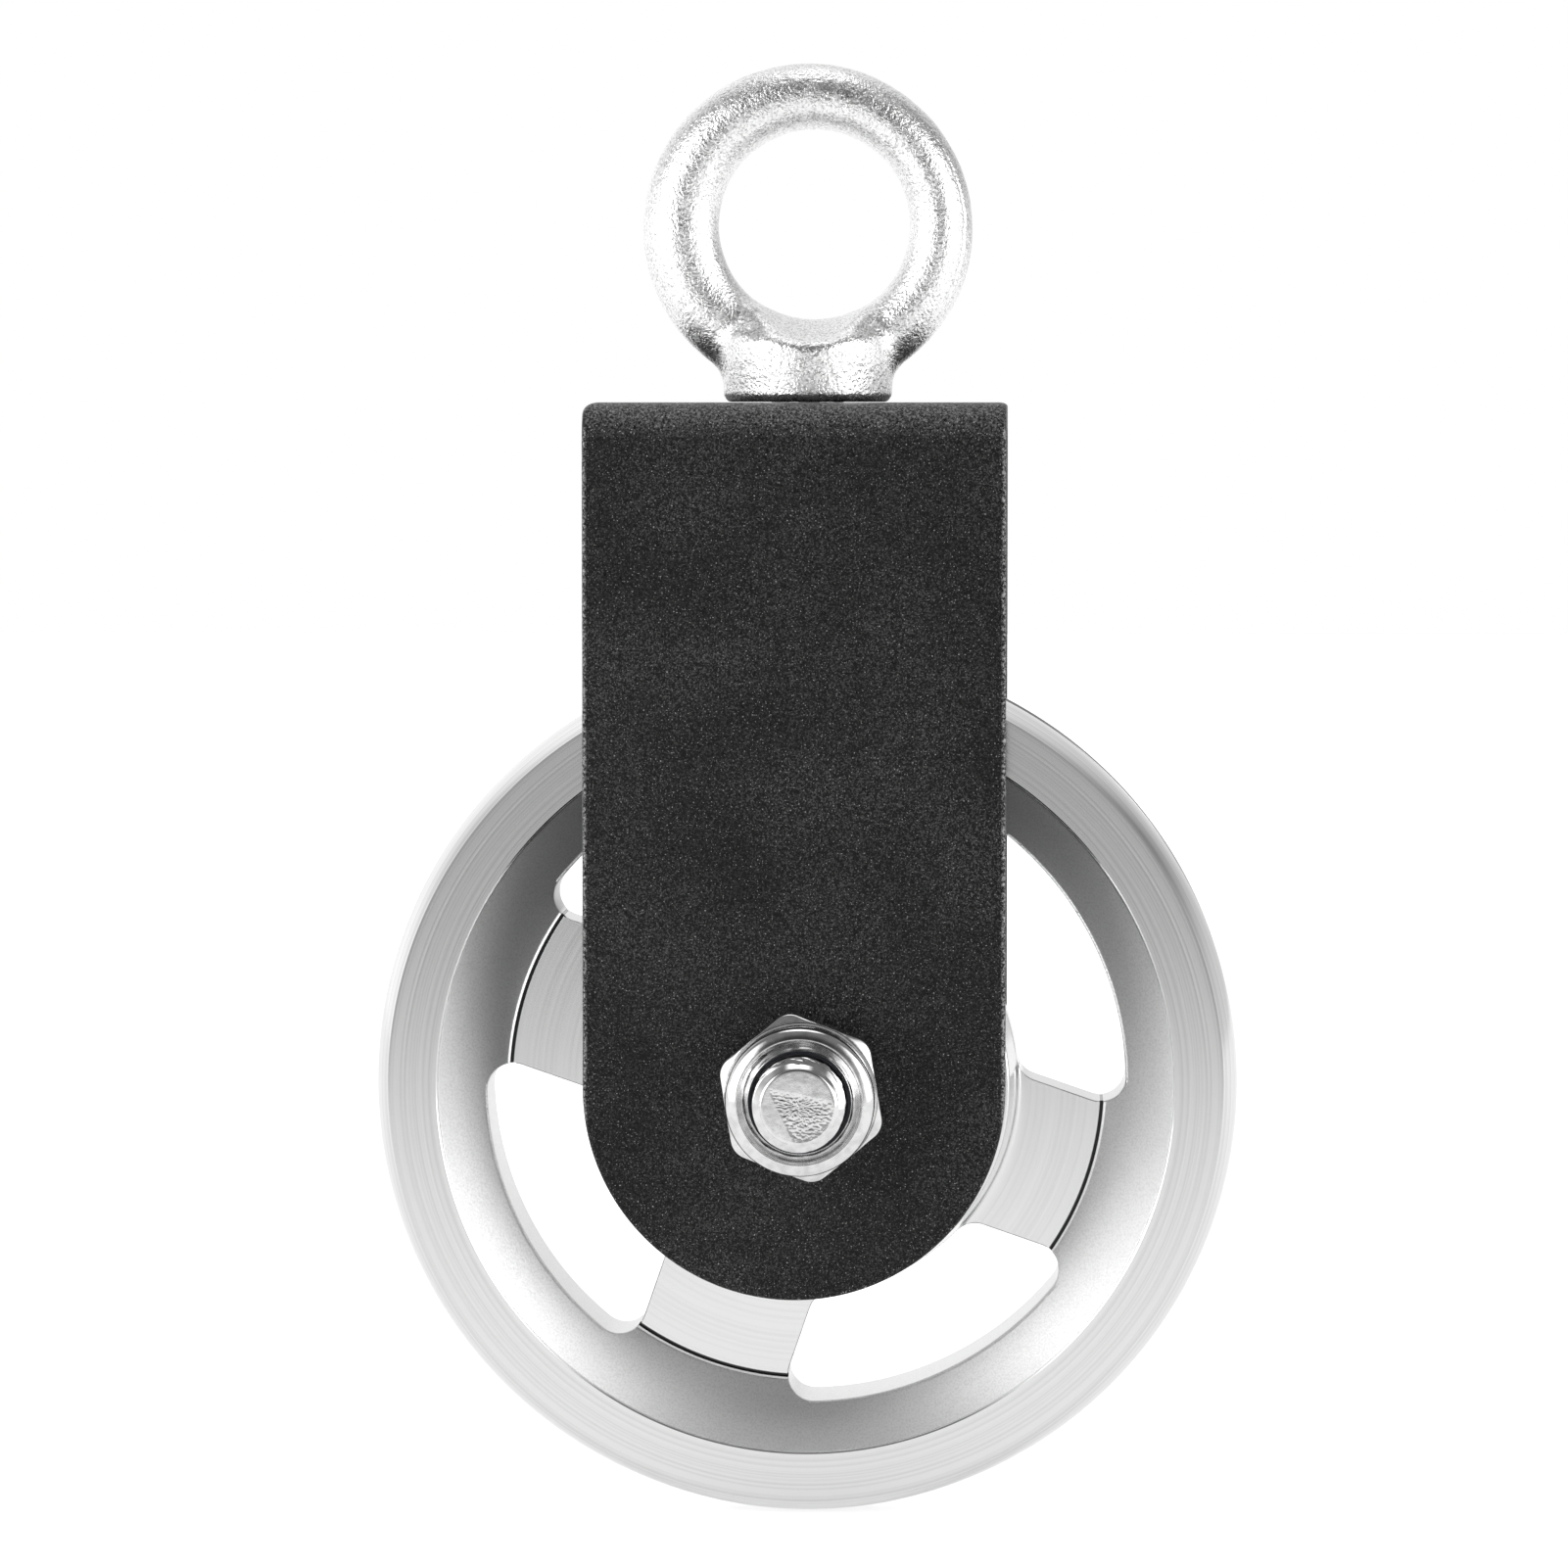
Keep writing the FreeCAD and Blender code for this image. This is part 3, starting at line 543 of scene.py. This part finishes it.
def eased(points, radius, count=3):
    """An open run of (radius, height) points whose inner corners are a little rounded."""
    made = [points[0]]
    for index in range(1, len(points) - 1):
        corner = np.array(points[index], float)
        back = np.array(points[index - 1], float) - corner
        ahead = np.array(points[index + 1], float) - corner
        reach = min(radius, 0.45 * np.linalg.norm(back), 0.45 * np.linalg.norm(ahead))
        back = corner + back / max(np.linalg.norm(back), 1e-9) * reach
        ahead = corner + ahead / max(np.linalg.norm(ahead), 1e-9) * reach
        for k in range(count + 1):
            share = k / count
            made.append(tuple((1 - share) ** 2 * back + 2 * share * (1 - share) * corner
                              + share ** 2 * ahead))
    made.append(points[-1])
    return made


def hex_rows(flat, turn, outline, count=576, ease=0.14, corner_round=0.6):
    """Rows for a piece with six sides. outline(reach, drop) gives its (radius, height) run,
    where reach is the side's distance and drop is how far the corner chamfer has come down."""
    columns = []
    for angle in turn_angles(count):
        reach = hex_reach(angle - turn + math.pi / 6, flat, corner_round)
        drop = (reach - flat) * math.tan(math.radians(30))
        run = eased(outline(reach, drop), ease)
        columns.append([(r * math.cos(angle), r * math.sin(angle), h) for r, h in run])
    return np.array(columns).transpose(1, 0, 2)


def lay_along_y(rows, y_foot, towards):
    """Lay rows that rise along +Z down along +Y or -Y, with the foot at y_foot."""
    rows = np.asarray(rows, float)
    return np.stack([rows[..., 0], y_foot + towards * rows[..., 2],
                     -towards * rows[..., 1] + AXLE_Z], axis=-1)


def make_axle_nut():
    def outline(reach, drop):
        foot = min(reach - 0.02, 8.3)
        return [(5.0, 0.5), (5.5, 0.0), (8.0, 0.0), (reach, 0.14 + drop), (reach, 6.88 - drop),
                (foot, 6.9), (foot - 0.04, 6.4), (7.9, 6.4), (7.98, 7.2), (8.05, 8.0),
                (8.05, 10.5), (8.0, 10.86), (7.86, 11.12), (7.6, 11.34), (7.25, 11.5),
                (6.9, 11.62), (6.76, 11.64), (6.62, 11.58), (6.52, 11.45), (6.1, 11.3),
                (5.62, 11.1), (5.52, 11.04), (5.62, 11.01), (7.0, 11.0), (7.0, 7.6),
                (5.0, 7.6), (5.0, 4.0)]
    rows = lay_along_y(hex_rows(HEX_FLAT, NUT_TURN, outline, corner_round=2.2), -PLATE_FACE_Y, -1)
    return skin("axle_nut_rolled", rows, closed=True, smooth_angle=24)


def make_nut_insert():
    profile = [(5.0, 7.62), (6.98, 7.62), (6.98, 10.95), (5.62, 10.95), (5.4, 10.9), (5.15, 10.7),
               (5.0, 10.4)]
    profile = rounded(profile, [0, 0, 0, 0.1, 0.1, 0.1, 0], 3)
    rows = lay_along_y(about_z(profile, 160), -PLATE_FACE_Y, -1)
    return skin("nut_insert_nylon", rows, closed=True)


def thread_reach(phase):
    """A trapezoid thread's radius at one phase of its turn."""
    way = abs((phase % 1.0) - 0.5) * 2
    return BOLT_RADIUS - THREAD_DEPTH * max(0.0, min(1.0, (0.875 - way) / 0.6 - 0.1))


def sheared(radius, turn):
    """The torn patch on the bolt's end, below a straight step."""
    x, z = radius * math.cos(turn), radius * math.sin(turn)
    inside = min(1.0, max(0.0, (1.4 - 0.2 * x - z) / 0.5))
    inside *= min(1.0, max(0.0, (x + 0.48 * z + 2.2) / 0.15))
    inside *= min(1.0, max(0.0, (3.8 - radius) / 0.4))
    place = Vector((x + 0.3 * z, z * 2.2, 3.0))
    tear = 0.5 + noise.noise(place * 2.9) + 0.7 * noise.noise(place * 5.3)
    return 0.055 * inside * max(0.0, tear)


def make_axle_bolt():
    turns = turn_angles(BOLT_AROUND)
    rows = []
    cap = [(0.1 * k, 0.0) for k in range(1, 39)] + [(3.9, 0.005), (4.04, 0.05)]
    for radius, sink in cap:
        rows.append([(radius * math.cos(t), BOLT_END_Y + sink + sheared(radius, t),
                      radius * math.sin(t)) for t in turns])
    y = BOLT_END_Y + 0.14
    while y < THREAD_STOP_Y:
        ring = []
        for t in turns:
            phase = (y - BOLT_END_Y) / THREAD_PITCH - t / (2 * math.pi)
            fade = max(0.0, min(1.0, (THREAD_STOP_Y - 1.0 - y) / 1.5))
            radius = BOLT_RADIUS + (thread_reach(phase) - BOLT_RADIUS) * fade
            radius = min(radius, 4.12 + (y - BOLT_END_Y - 0.1) * 0.95)
            ring.append((radius * math.cos(t), y, radius * math.sin(t)))
        rows.append(ring)
        y += 0.11
    for y in (-13.2, -5.0, 5.0, 15.6):
        rows.append([(BOLT_RADIUS * math.cos(t), y, BOLT_RADIUS * math.sin(t)) for t in turns])
    rows = np.array(rows)
    rows[..., 2] += AXLE_Z

    def outline(reach, drop):
        return [(5.0, -0.65), (5.0, 0.0), (7.85, 0.0), (8.0, 0.2), (reach - 0.02, 0.22),
                (reach, 6.25 - drop), (7.95, 6.36), (7.4, 6.4), (3.0, 6.4), (0.4, 6.4)]
    head = hex_rows(HEX_FLAT, HEAD_TURN, outline, BOLT_AROUND, ease=0.2)
    head = lay_along_y(head, PLATE_FACE_Y, 1)
    turned = np.roll(head[:, ::-1], 1, axis=1)
    return skin("axle_bolt_threaded", np.concatenate([rows, turned]), closed=False,
                smooth_angle=32)


def make_swivel_bolt():
    def outline(reach, drop):
        return [(0.4, 0.0), (5.4, 0.0), (6.25, 0.06), (reach, 0.16 + drop), (reach, 5.1),
                (6.1, 5.1), (5.9, 5.3), (4.3, 5.3), (4.0, 5.5), (4.0, 15.0), (4.0, 21.2),
                (3.3, 21.9), (0.4, 21.9)]
    rows = hex_rows(6.5, 0.0, outline, 144, ease=0.2)
    rows[..., 2] += SWIVEL_HEAD_Z
    return skin("swivel_bolt_turned", rows, closed=False, smooth_angle=32)


# ---- eye nut -----------------------------------------------------------------------------
EYE_OUTER_RADIUS = 18.12
EYE_HOLE_RADIUS = 10.32
EYE_HOLE_X = 0.72
EYE_HOLE_Z = 0.38
EYE_HALF_DEPTH = 4.05
COLLAR_FOOT = WEB_TOP_Z + 0.06
COLLAR_TOP = -11.9
THREAD_HOLE_RADIUS = 4.06
THREAD_HOLE_TOP = -11.5


def blend_near(first, second, reach):
    """The nearer of two distances, with a fillet where they meet."""
    near = np.maximum(reach - np.abs(first - second), 0) / reach
    return np.minimum(first, second) - near * near * reach / 4


def ring_distance(x, y, z):
    """The forged ring. Its hole sits a little off the middle of its outside."""
    way = np.arctan2(z, x)
    along = np.cos(way) * EYE_HOLE_X + np.sin(way) * EYE_HOLE_Z
    shift = EYE_HOLE_X ** 2 + EYE_HOLE_Z ** 2
    inner = along + np.sqrt(EYE_HOLE_RADIUS ** 2 - shift + along ** 2)
    middle = (EYE_OUTER_RADIUS + inner) / 2
    half = (EYE_OUTER_RADIUS - inner) / 2
    return (np.hypot((np.hypot(x, z) - middle) / half, y / EYE_HALF_DEPTH) - 1) * half


def collar_distance(x, y, z):
    share = np.clip((z - COLLAR_FOOT) / 6.0, 0, 1)
    radius = 9.02 + 0.55 * share * share * (3 - 2 * share)
    edge = 0.55 + 0.45 * share
    middle = (COLLAR_FOOT + COLLAR_TOP) / 2
    out = np.hypot(x, y) - radius + edge
    up = np.abs(z - middle) - (COLLAR_TOP - COLLAR_FOOT) / 2 + edge
    outside = np.hypot(np.maximum(out, 0), np.maximum(up, 0))
    return np.minimum(np.maximum(out, up), 0) + outside - edge


def neck_distance(x, y, z):
    """What fills the space between the ring's foot and the collar's top edge."""
    taper = 9.0 - 0.55 * np.maximum(z - COLLAR_TOP, 0)
    return np.maximum(np.hypot(x, y) - taper, np.maximum(z + 8.6, COLLAR_FOOT + 1 - z))


def funnel_distance(x, y, z):
    """Everything outside the hole, which flares towards the collar's front and rear."""
    flare = 2.6 * (np.abs(y) / 9) ** 1.7
    return EYE_HOLE_RADIUS + flare - np.hypot(x - EYE_HOLE_X, z - EYE_HOLE_Z)


def eye_distance(points):
    x, y, z = points.T
    foot = blend_near(collar_distance(x, y, z), neck_distance(x, y, z), 1.0)
    whole = blend_near(ring_distance(x, y, z), foot, 1.4)
    whole = -blend_near(-whole, -funnel_distance(x, y, z), 0.9)
    thread = np.maximum(np.hypot(x, y) - THREAD_HOLE_RADIUS, z - THREAD_HOLE_TOP)
    return np.maximum(whole, -thread)


def onto_surface(points, step=0.04):
    """Move points onto the nut's skin along the slope of its distance."""
    here = eye_distance(points)
    slope = np.zeros_like(points)
    for axis in range(3):
        moved = points.copy()
        moved[:, axis] += step
        slope[:, axis] = (eye_distance(moved) - here) / step
    size = np.maximum((slope ** 2).sum(axis=1), 0.25)
    return points - slope * np.clip(here / size, -0.5, 0.5)[:, None]


def rough_eye_nut():
    """A plain union of ring and foot, good enough to be drawn onto the final skin."""
    rows = []
    for angle in turn_angles(160):
        rows.append([((14.2 + 3.9 * math.cos(t)) * math.cos(angle), EYE_HALF_DEPTH * math.sin(t),
                      (14.2 + 3.9 * math.cos(t)) * math.sin(angle)) for t in turn_angles(48)])
    ring = skin("eye_nut_forged", rows, closed=True)
    foot = [(THREAD_HOLE_RADIUS, COLLAR_FOOT), (9.0, COLLAR_FOOT), (9.5, -12.6), (8.4, -11.2),
            (4.2, -10.2), (0.01, -10.1), (0.01, THREAD_HOLE_TOP),
            (THREAD_HOLE_RADIUS, THREAD_HOLE_TOP)]
    apply_boolean(ring, skin("cutter", about_z(foot, 120), closed=True), "UNION")
    step = ring.modifiers.new("voxels", "REMESH")
    step.mode = "VOXEL"
    step.voxel_size = 0.2 * MM
    bake_modifiers(ring)
    return ring


def smooth_noise(place, scale):
    return noise.noise(Vector(place) * scale)


def bell(off, width):
    return math.exp(-(off / width) ** 2)


def forged_lift(place):
    """How far the forged skin stands out: a soft wave, fine pebbles and die marks. It fades
    out at the collar's foot, which lies close to the strap."""
    lift = 0.05 * smooth_noise(place, 0.25) + 0.018 * smooth_noise(place, 1.2)
    lift += 0.016 * smooth_noise(place, 2.6)
    around = math.atan2(place.z, place.x)
    out = math.hypot(place.x, place.z) - 14.15
    section = math.atan2(-place.y, out)
    wander = 0.06 * smooth_noise(Vector((around * 4, 0, 7)), 1.0)
    fade = bell(around + 0.1, 0.75)
    lift += fade * 0.07 * bell(section - 0.62 - wander, 0.045)
    lift -= fade * 0.05 * bell(section - 0.72 - wander, 0.04)
    lift += 0.03 * bell(section, 0.05) * (place.z > -11)
    if place.y < -3 and place.z < -12.2:
        for x, strength in ((-3.4, 0.06), (-2.3, 0.035)):
            lift -= strength * bell(place.x - x + 0.02 * (place.z + 12) ** 2, 0.13)
    return lift * min(1.0, max(0.0, (place.z - COLLAR_FOOT - 0.05) / 0.4))


def relax(piece, times):
    ease = piece.modifiers.new("ease", "SMOOTH")
    ease.factor = 0.5
    ease.iterations = times
    bake_modifiers(piece)


def read_points(items, key):
    """One vector for each item of a mesh, as rows of an array."""
    values = np.zeros(len(items) * 3, np.float32)
    items.foreach_get(key, values)
    return values.reshape(-1, 3).astype(float)


def make_eye_nut():
    nut = rough_eye_nut()
    for times in (6, 3, 2):
        relax(nut, times)
        points = read_points(nut.data.vertices, "co") / MM
        for _ in range(4):
            points = onto_surface(points)
        nut.data.vertices.foreach_set("co", (points * MM).astype(np.float32).ravel())
        nut.data.update()
    normals = read_points(nut.data.vertex_normals, "vector")
    for vert, normal in zip(nut.data.vertices, normals):
        vert.co += Vector(normal) * (forged_lift(vert.co / MM) * MM)
    return outward(nut, 60)


# ---- materials ---------------------------------------------------------------------------
def turned_aluminium():
    """Fine turning marks all over, a satin dish and painted shade in the tool groove. The bands
    are distances from the axle, in metres."""
    finish = Finish("turned_aluminium", Metallic=1.0, Roughness=0.2, Anisotropic=0.7)
    radius, along = finish.from_axle()
    dish = finish.math("MULTIPLY", finish.remap(radius, 0.0326, 0.0332, 0, 1),
                       finish.remap(radius, 0.0402, 0.0405, 1, 0))
    lines = finish.remap(finish.rings(3000, 2), 0.38, 0.55, 0, 1)
    outer = finish.remap(radius, 0.0404, 0.0408, 0, 1)
    fine = finish.mix(lines, finish.mix(outer, grey(0.74), grey(0.68)), grey(0.78))
    satin = finish.remap(finish.noise(5000, 2), 0.35, 0.6, 0, 1)
    satin = finish.mix(satin, grey(0.84), grey(0.97))
    shade = finish.mix(dish, fine, satin)
    depth = finish.math("ABSOLUTE", along)
    # The tool groove is painted near-black: painted shade in the recess.
    slot = finish.math("MULTIPLY", finish.remap(radius, 0.03242, 0.03245, 0, 1),
                       finish.remap(radius, 0.03275, 0.0328, 1, 0))
    slot = finish.math("MULTIPLY", slot, finish.remap(depth, 0.0042, 0.0043, 1, 0))
    finish.colour(finish.mix(slot, shade, grey(0.03)))
    polish = finish.remap(finish.rings(1500, 3), 0.3, 0.7, 0.12, 0.16)
    finish.rough(finish.remap(dish, 0, 1, polish, 0.35))
    tangent = finish.node("ShaderNodeTangent", direction_type="RADIAL", axis="Y")
    finish.feed(finish.shader.inputs["Tangent"], tangent.outputs[0])
    turned = finish.bump(finish.rings(2400, 1), 0.10, 0.00002)
    grain = finish.math("MULTIPLY", finish.noise(3500, 2, 0.6), dish)
    finish.relief(finish.bump(grain, 0.25, 0.00003, turned))
    return finish


def forged_zinc():
    finish = Finish("forged_zinc", Metallic=1.0, Roughness=0.3)
    grain = finish.remap(finish.noise(3600, 3, 0.65), 0.38, 0.5, 0, 1)
    finish.colour(finish.mix(grain, grey(0.58), grey(0.98)))
    finish.rough(finish.remap(finish.noise(900, 3), 0.3, 0.7, 0.18, 0.34))
    coarse = finish.bump(finish.noise(1300, 3, 0.65), 0.5, 0.0002)
    finish.relief(finish.bump(finish.noise(3000, 2, 0.6), 0.9, 0.00012, coarse))
    return finish


def black_coat():
    """A matt black powder coat. It is coarser on the bends and long edges, where a speckled
    painted highlight lightens it, more towards the top of the bends.
    """
    finish = Finish("black_coat", Roughness=0.4, Specular_IOR_Level=0.19)
    split = finish.node("ShaderNodeSeparateXYZ")
    finish.feed(split.inputs[0], finish.place)
    # Masks for the painted highlight: the bends, lighter towards their top, and the long edges.
    across = finish.math("ABSOLUTE", split.outputs["Y"])
    bend = finish.math("MULTIPLY", finish.remap(split.outputs["Z"], -0.0230, -0.0193, 0, 0.6),
                       finish.remap(across, 0.0118, 0.0128, 0, 1))
    aside = finish.math("ABSOLUTE", finish.math("ADD", split.outputs["X"], 0.001))
    outside = finish.remap(across, 0.0158, 0.0161, 0, 1)
    rim = finish.math("MULTIPLY", finish.remap(aside, 0.02245, 0.02275, 0, 1), outside)
    edge = finish.math("MAXIMUM", bend, rim)
    cloud = finish.remap(finish.noise(70, 3), 0.35, 0.65, 0.4, 1.0)
    fleck = finish.remap(finish.noise(6000, 2, 0.6), 0.47, 0.66, 0, 1)
    grain = finish.mix(finish.math("MULTIPLY", fleck, cloud), grey(0.002), grey(0.072))
    # Painted highlight: light speckles on the bends and long edges.
    edge_highlight_speckle = finish.remap(finish.noise(3600, 3, 0.7), 0.46, 0.64, 0, 1)
    grain = finish.mix(finish.math("MULTIPLY", edge_highlight_speckle, edge), grain, grey(0.45))
    # Painted glints: tiny bright flecks in the coat's colour.
    painted_glint = finish.remap(finish.noise(5600, 1), 0.67, 0.73, 0, 1)
    finish.colour(finish.mix(painted_glint, grain, grey(0.42)))
    finish.rough(finish.remap(finish.noise(1800, 2), 0.3, 0.7, 0.26, 0.5))
    peel = finish.bump(finish.noise(1300, 2, 0.6), 0.4, 0.00015)
    finish.relief(finish.bump(finish.noise(3400, 2, 0.6), 0.9, 0.00012, peel))
    return finish


def zinc_fastener():
    finish = Finish("zinc_fastener", Metallic=1.0, Roughness=0.12)
    finish.colour(finish.mix(finish.remap(finish.noise(900, 4), 0.35, 0.6, 0, 1), grey(0.66),
                             grey(0.80)))
    finish.rough(finish.remap(finish.noise(700, 4), 0.3, 0.7, 0.07, 0.15))
    dent = finish.bump(finish.noise(500, 2), 0.2, 0.00008)
    finish.relief(finish.bump(finish.noise(2600, 4, 0.7), 0.1, 0.00003, dent))
    return finish


def bearing_steel():
    finish = Finish("bearing_steel", Metallic=1.0, Roughness=0.18)
    finish.colour(finish.mix(finish.rings(1500), grey(0.62), grey(0.75)))
    finish.rough(finish.remap(finish.noise(600, 3), 0.3, 0.7, 0.12, 0.24))
    finish.relief(finish.bump(finish.rings(3500, 2), 0.2, 0.00002))
    return finish


def shield_steel():
    finish = Finish("shield_steel", Metallic=1.0, Roughness=0.3)
    finish.colour(finish.mix(finish.noise(400, 3), grey(0.45), grey(0.6)))
    finish.rough(finish.remap(finish.noise(900, 3), 0.3, 0.7, 0.22, 0.4))
    finish.relief(finish.bump(finish.noise(1500, 3), 0.2, 0.00004))
    return finish


def spacer_steel():
    finish = Finish("spacer_steel", Metallic=1.0, Roughness=0.3, Anisotropic=0.4)
    finish.colour(finish.mix(finish.rings(1200), grey(0.5), grey(0.68)))
    finish.rough(finish.remap(finish.noise(500, 3), 0.3, 0.7, 0.25, 0.4))
    finish.relief(finish.bump(finish.rings(3000, 2), 0.3, 0.00004))
    return finish


def moulded_nylon(name, low, high):
    finish = Finish(name, Roughness=0.45)
    finish.colour(finish.mix(finish.noise(300, 3), low, high))
    finish.rough(finish.remap(finish.noise(800, 3), 0.3, 0.7, 0.38, 0.55))
    finish.relief(finish.bump(finish.noise(1800, 3), 0.2, 0.00005))
    return finish


def bush_bronze():
    finish = Finish("bush_bronze", Metallic=1.0, Roughness=0.35)
    finish.colour(finish.mix(finish.noise(900, 4, 0.6), (0.50, 0.33, 0.14, 1),
                             (0.68, 0.48, 0.24, 1)))
    finish.rough(finish.remap(finish.noise(1200, 3), 0.3, 0.7, 0.28, 0.5))
    finish.relief(finish.bump(finish.noise(3500, 3, 0.7), 0.3, 0.00005))
    return finish


# ---- the block ---------------------------------------------------------------------------
FINISHES = {
    "turned_aluminium": turned_aluminium(),
    "forged_zinc": forged_zinc(),
    "black_coat": black_coat(),
    "zinc_fastener": zinc_fastener(),
    "bearing_steel": bearing_steel(),
    "shield_steel": shield_steel(),
    "spacer_steel": spacer_steel(),
    "cage_nylon": moulded_nylon("cage_nylon", (0.55, 0.50, 0.38, 1), (0.68, 0.63, 0.50, 1)),
    "insert_nylon": moulded_nylon("insert_nylon", (0.015, 0.016, 0.02, 1),
                                  (0.03, 0.032, 0.04, 1)),
    "bush_bronze": bush_bronze(),
}


def fit_piece(piece, body, node, slot):
    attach(piece, body)
    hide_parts(node)
    FINISHES[slot].on(piece)


fit_piece(make_sheave(), "wheel", "sheave", "turned_aluminium")
fit_piece(make_bracket(), "frame", "bracket", "black_coat")
fit_piece(make_eye_nut(), "eye", "eye_nut", "forged_zinc")
fit_piece(make_axle_nut(), "frame", "axle_nut", "zinc_fastener")
fit_piece(make_axle_bolt(), "frame", "axle_bolt", "zinc_fastener")
fit_piece(make_nut_insert(), "frame", "nut_insert", "insert_nylon")
fit_piece(make_swivel_bolt(), "eye", "swivel_bolt", "zinc_fastener")

CARRIED_OVER = {
    "bearing_steel": ["thrust_upper_race", "thrust_lower_race", "thrust_balls",
                      "front_inner_ring", "rear_inner_ring", "front_outer_ring",
                      "rear_outer_ring", "front_balls", "rear_balls"],
    "shield_steel": ["thrust_cage", "front_outer_shield", "rear_outer_shield",
                     "front_inner_shield", "rear_inner_shield"],
    "cage_nylon": ["front_cage", "rear_cage"],
    "bush_bronze": ["swivel_bush"],
    "spacer_steel": ["front_spacer", "rear_spacer", "centre_sleeve"],
}
for slot_name, node_names in CARRIED_OVER.items():
    for node_name in node_names:
        FINISHES[slot_name].on(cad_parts[node_name])


# ---- studio ------------------------------------------------------------------------------
FLOOR_Z = -142
FLOOR_FRONT_Y = -545
FLOOR_REACH = 3000


def make_camera():
    data = bpy.data.cameras.new("camera")
    data.sensor_width = 36
    data.lens = 162.9
    data.clip_start = 0.05
    data.clip_end = 50
    camera = bpy.data.objects.new("camera", data)
    bpy.context.scene.collection.objects.link(camera)
    camera.location = Vector((25.4, -784.0, -19.3)) * MM
    aim = Vector((-2.3, -9.25, -60.8)) * MM
    camera.rotation_mode = "QUATERNION"
    camera.rotation_quaternion = (aim - camera.location).to_track_quat("-Z", "Y")
    bpy.context.scene.camera = camera


def make_floor():
    """A pale floor just below the block. It ends short of the camera."""
    floor = link_mesh("floor", [(-FLOOR_REACH, FLOOR_FRONT_Y, FLOOR_Z),
                                (FLOOR_REACH, FLOOR_FRONT_Y, FLOOR_Z),
                                (FLOOR_REACH, FLOOR_REACH, FLOOR_Z),
                                (-FLOOR_REACH, FLOOR_REACH, FLOOR_Z)], [(0, 1, 2, 3)])
    finish = Finish("pale_floor", Roughness=0.7, Specular_IOR_Level=0.0)
    finish.colour(finish.mix(finish.noise(3, 2), grey(0.80), grey(0.84)))
    seen = finish.node("ShaderNodeLightPath").outputs["Is Camera Ray"]
    finish.shader.inputs["Emission Color"].default_value = grey(1.0)
    finish.feed(finish.shader.inputs["Emission Strength"], finish.remap(seen, 0, 1, 0.40, 0.7))
    finish.on(floor)


# (direction, inner angle, outer angle, strength), angles in degrees. The first is a shade.
SOFT_BOXES = [
    ((0, -1, 0.15), 16, 40, -0.18),
    ((-0.80, -0.60, 0.10), 16, 32, 2.2),
    ((0.90, -0.42, 0.10), 16, 32, 2.2),
    ((-0.70, -0.62, 0.42), 8, 22, 1.3),
    ((0.74, -0.55, 0.42), 8, 22, 1.3),
    ((-0.85, 0.50, 0.15), 25, 60, 0.45),
    ((0, 0.72, 0.69), 15, 45, 0.55),
]


def make_world():
    """A white room, greyer ahead of the block, with soft boxes on each side and behind."""
    world = bpy.data.worlds.new("studio")
    bpy.context.scene.world = world
    world.use_nodes = True
    tree = world.node_tree
    tree.nodes.clear()

    def add(kind, **settings):
        made = tree.nodes.new(kind)
        for key, value in settings.items():
            setattr(made, key, value)
        return made

    def math_node(operation, first, second):
        made = add("ShaderNodeMath", operation=operation)
        for index, value in enumerate((first, second)):
            if isinstance(value, bpy.types.NodeSocket):
                tree.links.new(value, made.inputs[index])
            else:
                made.inputs[index].default_value = value
        return made.outputs[0]

    way = add("ShaderNodeTexCoord").outputs["Generated"]

    def facing(direction, inner, outer):
        """1 within the inner angle of a direction, falling to 0 at the outer angle."""
        dot = add("ShaderNodeVectorMath", operation="DOT_PRODUCT")
        tree.links.new(way, dot.inputs[0])
        dot.inputs[1].default_value = Vector(direction).normalized()
        ramp = add("ShaderNodeMapRange", interpolation_type="SMOOTHSTEP")
        tree.links.new(dot.outputs["Value"], ramp.inputs[0])
        ramp.inputs[1].default_value = math.cos(math.radians(outer))
        ramp.inputs[2].default_value = math.cos(math.radians(inner))
        return ramp.outputs[0]

    def ease(value, low, high, first, last):
        """A smooth ramp from first, where the value is low, to last, where it is high."""
        ramp = add("ShaderNodeMapRange", interpolation_type="SMOOTHSTEP")
        tree.links.new(value, ramp.inputs[0])
        for index, number in enumerate((low, high, first, last), start=1):
            ramp.inputs[index].default_value = number
        return ramp.outputs[0]

    split = add("ShaderNodeSeparateXYZ")
    tree.links.new(way, split.inputs[0])
    height = split.outputs["Z"]
    level = ease(height, 0.05, 0.45, 0.64, 0.20)
    level = math_node("ADD", level, ease(height, 0.92, 0.985, 0.0, 1.6))
    behind = facing((0, 1, 0.1), 50, 100)
    level = math_node("ADD", level, math_node("MULTIPLY", behind, 0.1))
    for direction, inner, outer, strength in SOFT_BOXES:
        box = facing(direction, inner, outer)
        level = math_node("ADD", level, math_node("MULTIPLY", box, strength))
    seen = add("ShaderNodeLightPath").outputs["Is Camera Ray"]
    level = math_node("MAXIMUM", level, math_node("MULTIPLY", seen, 1.0))
    shine = add("ShaderNodeBackground")
    shine.inputs["Color"].default_value = grey(1.0)
    tree.links.new(level, shine.inputs["Strength"])
    out = add("ShaderNodeOutputWorld")
    tree.links.new(shine.outputs[0], out.inputs[0])


make_camera()
make_floor()
make_world()
bpy.context.scene.view_settings.view_transform = "Standard"
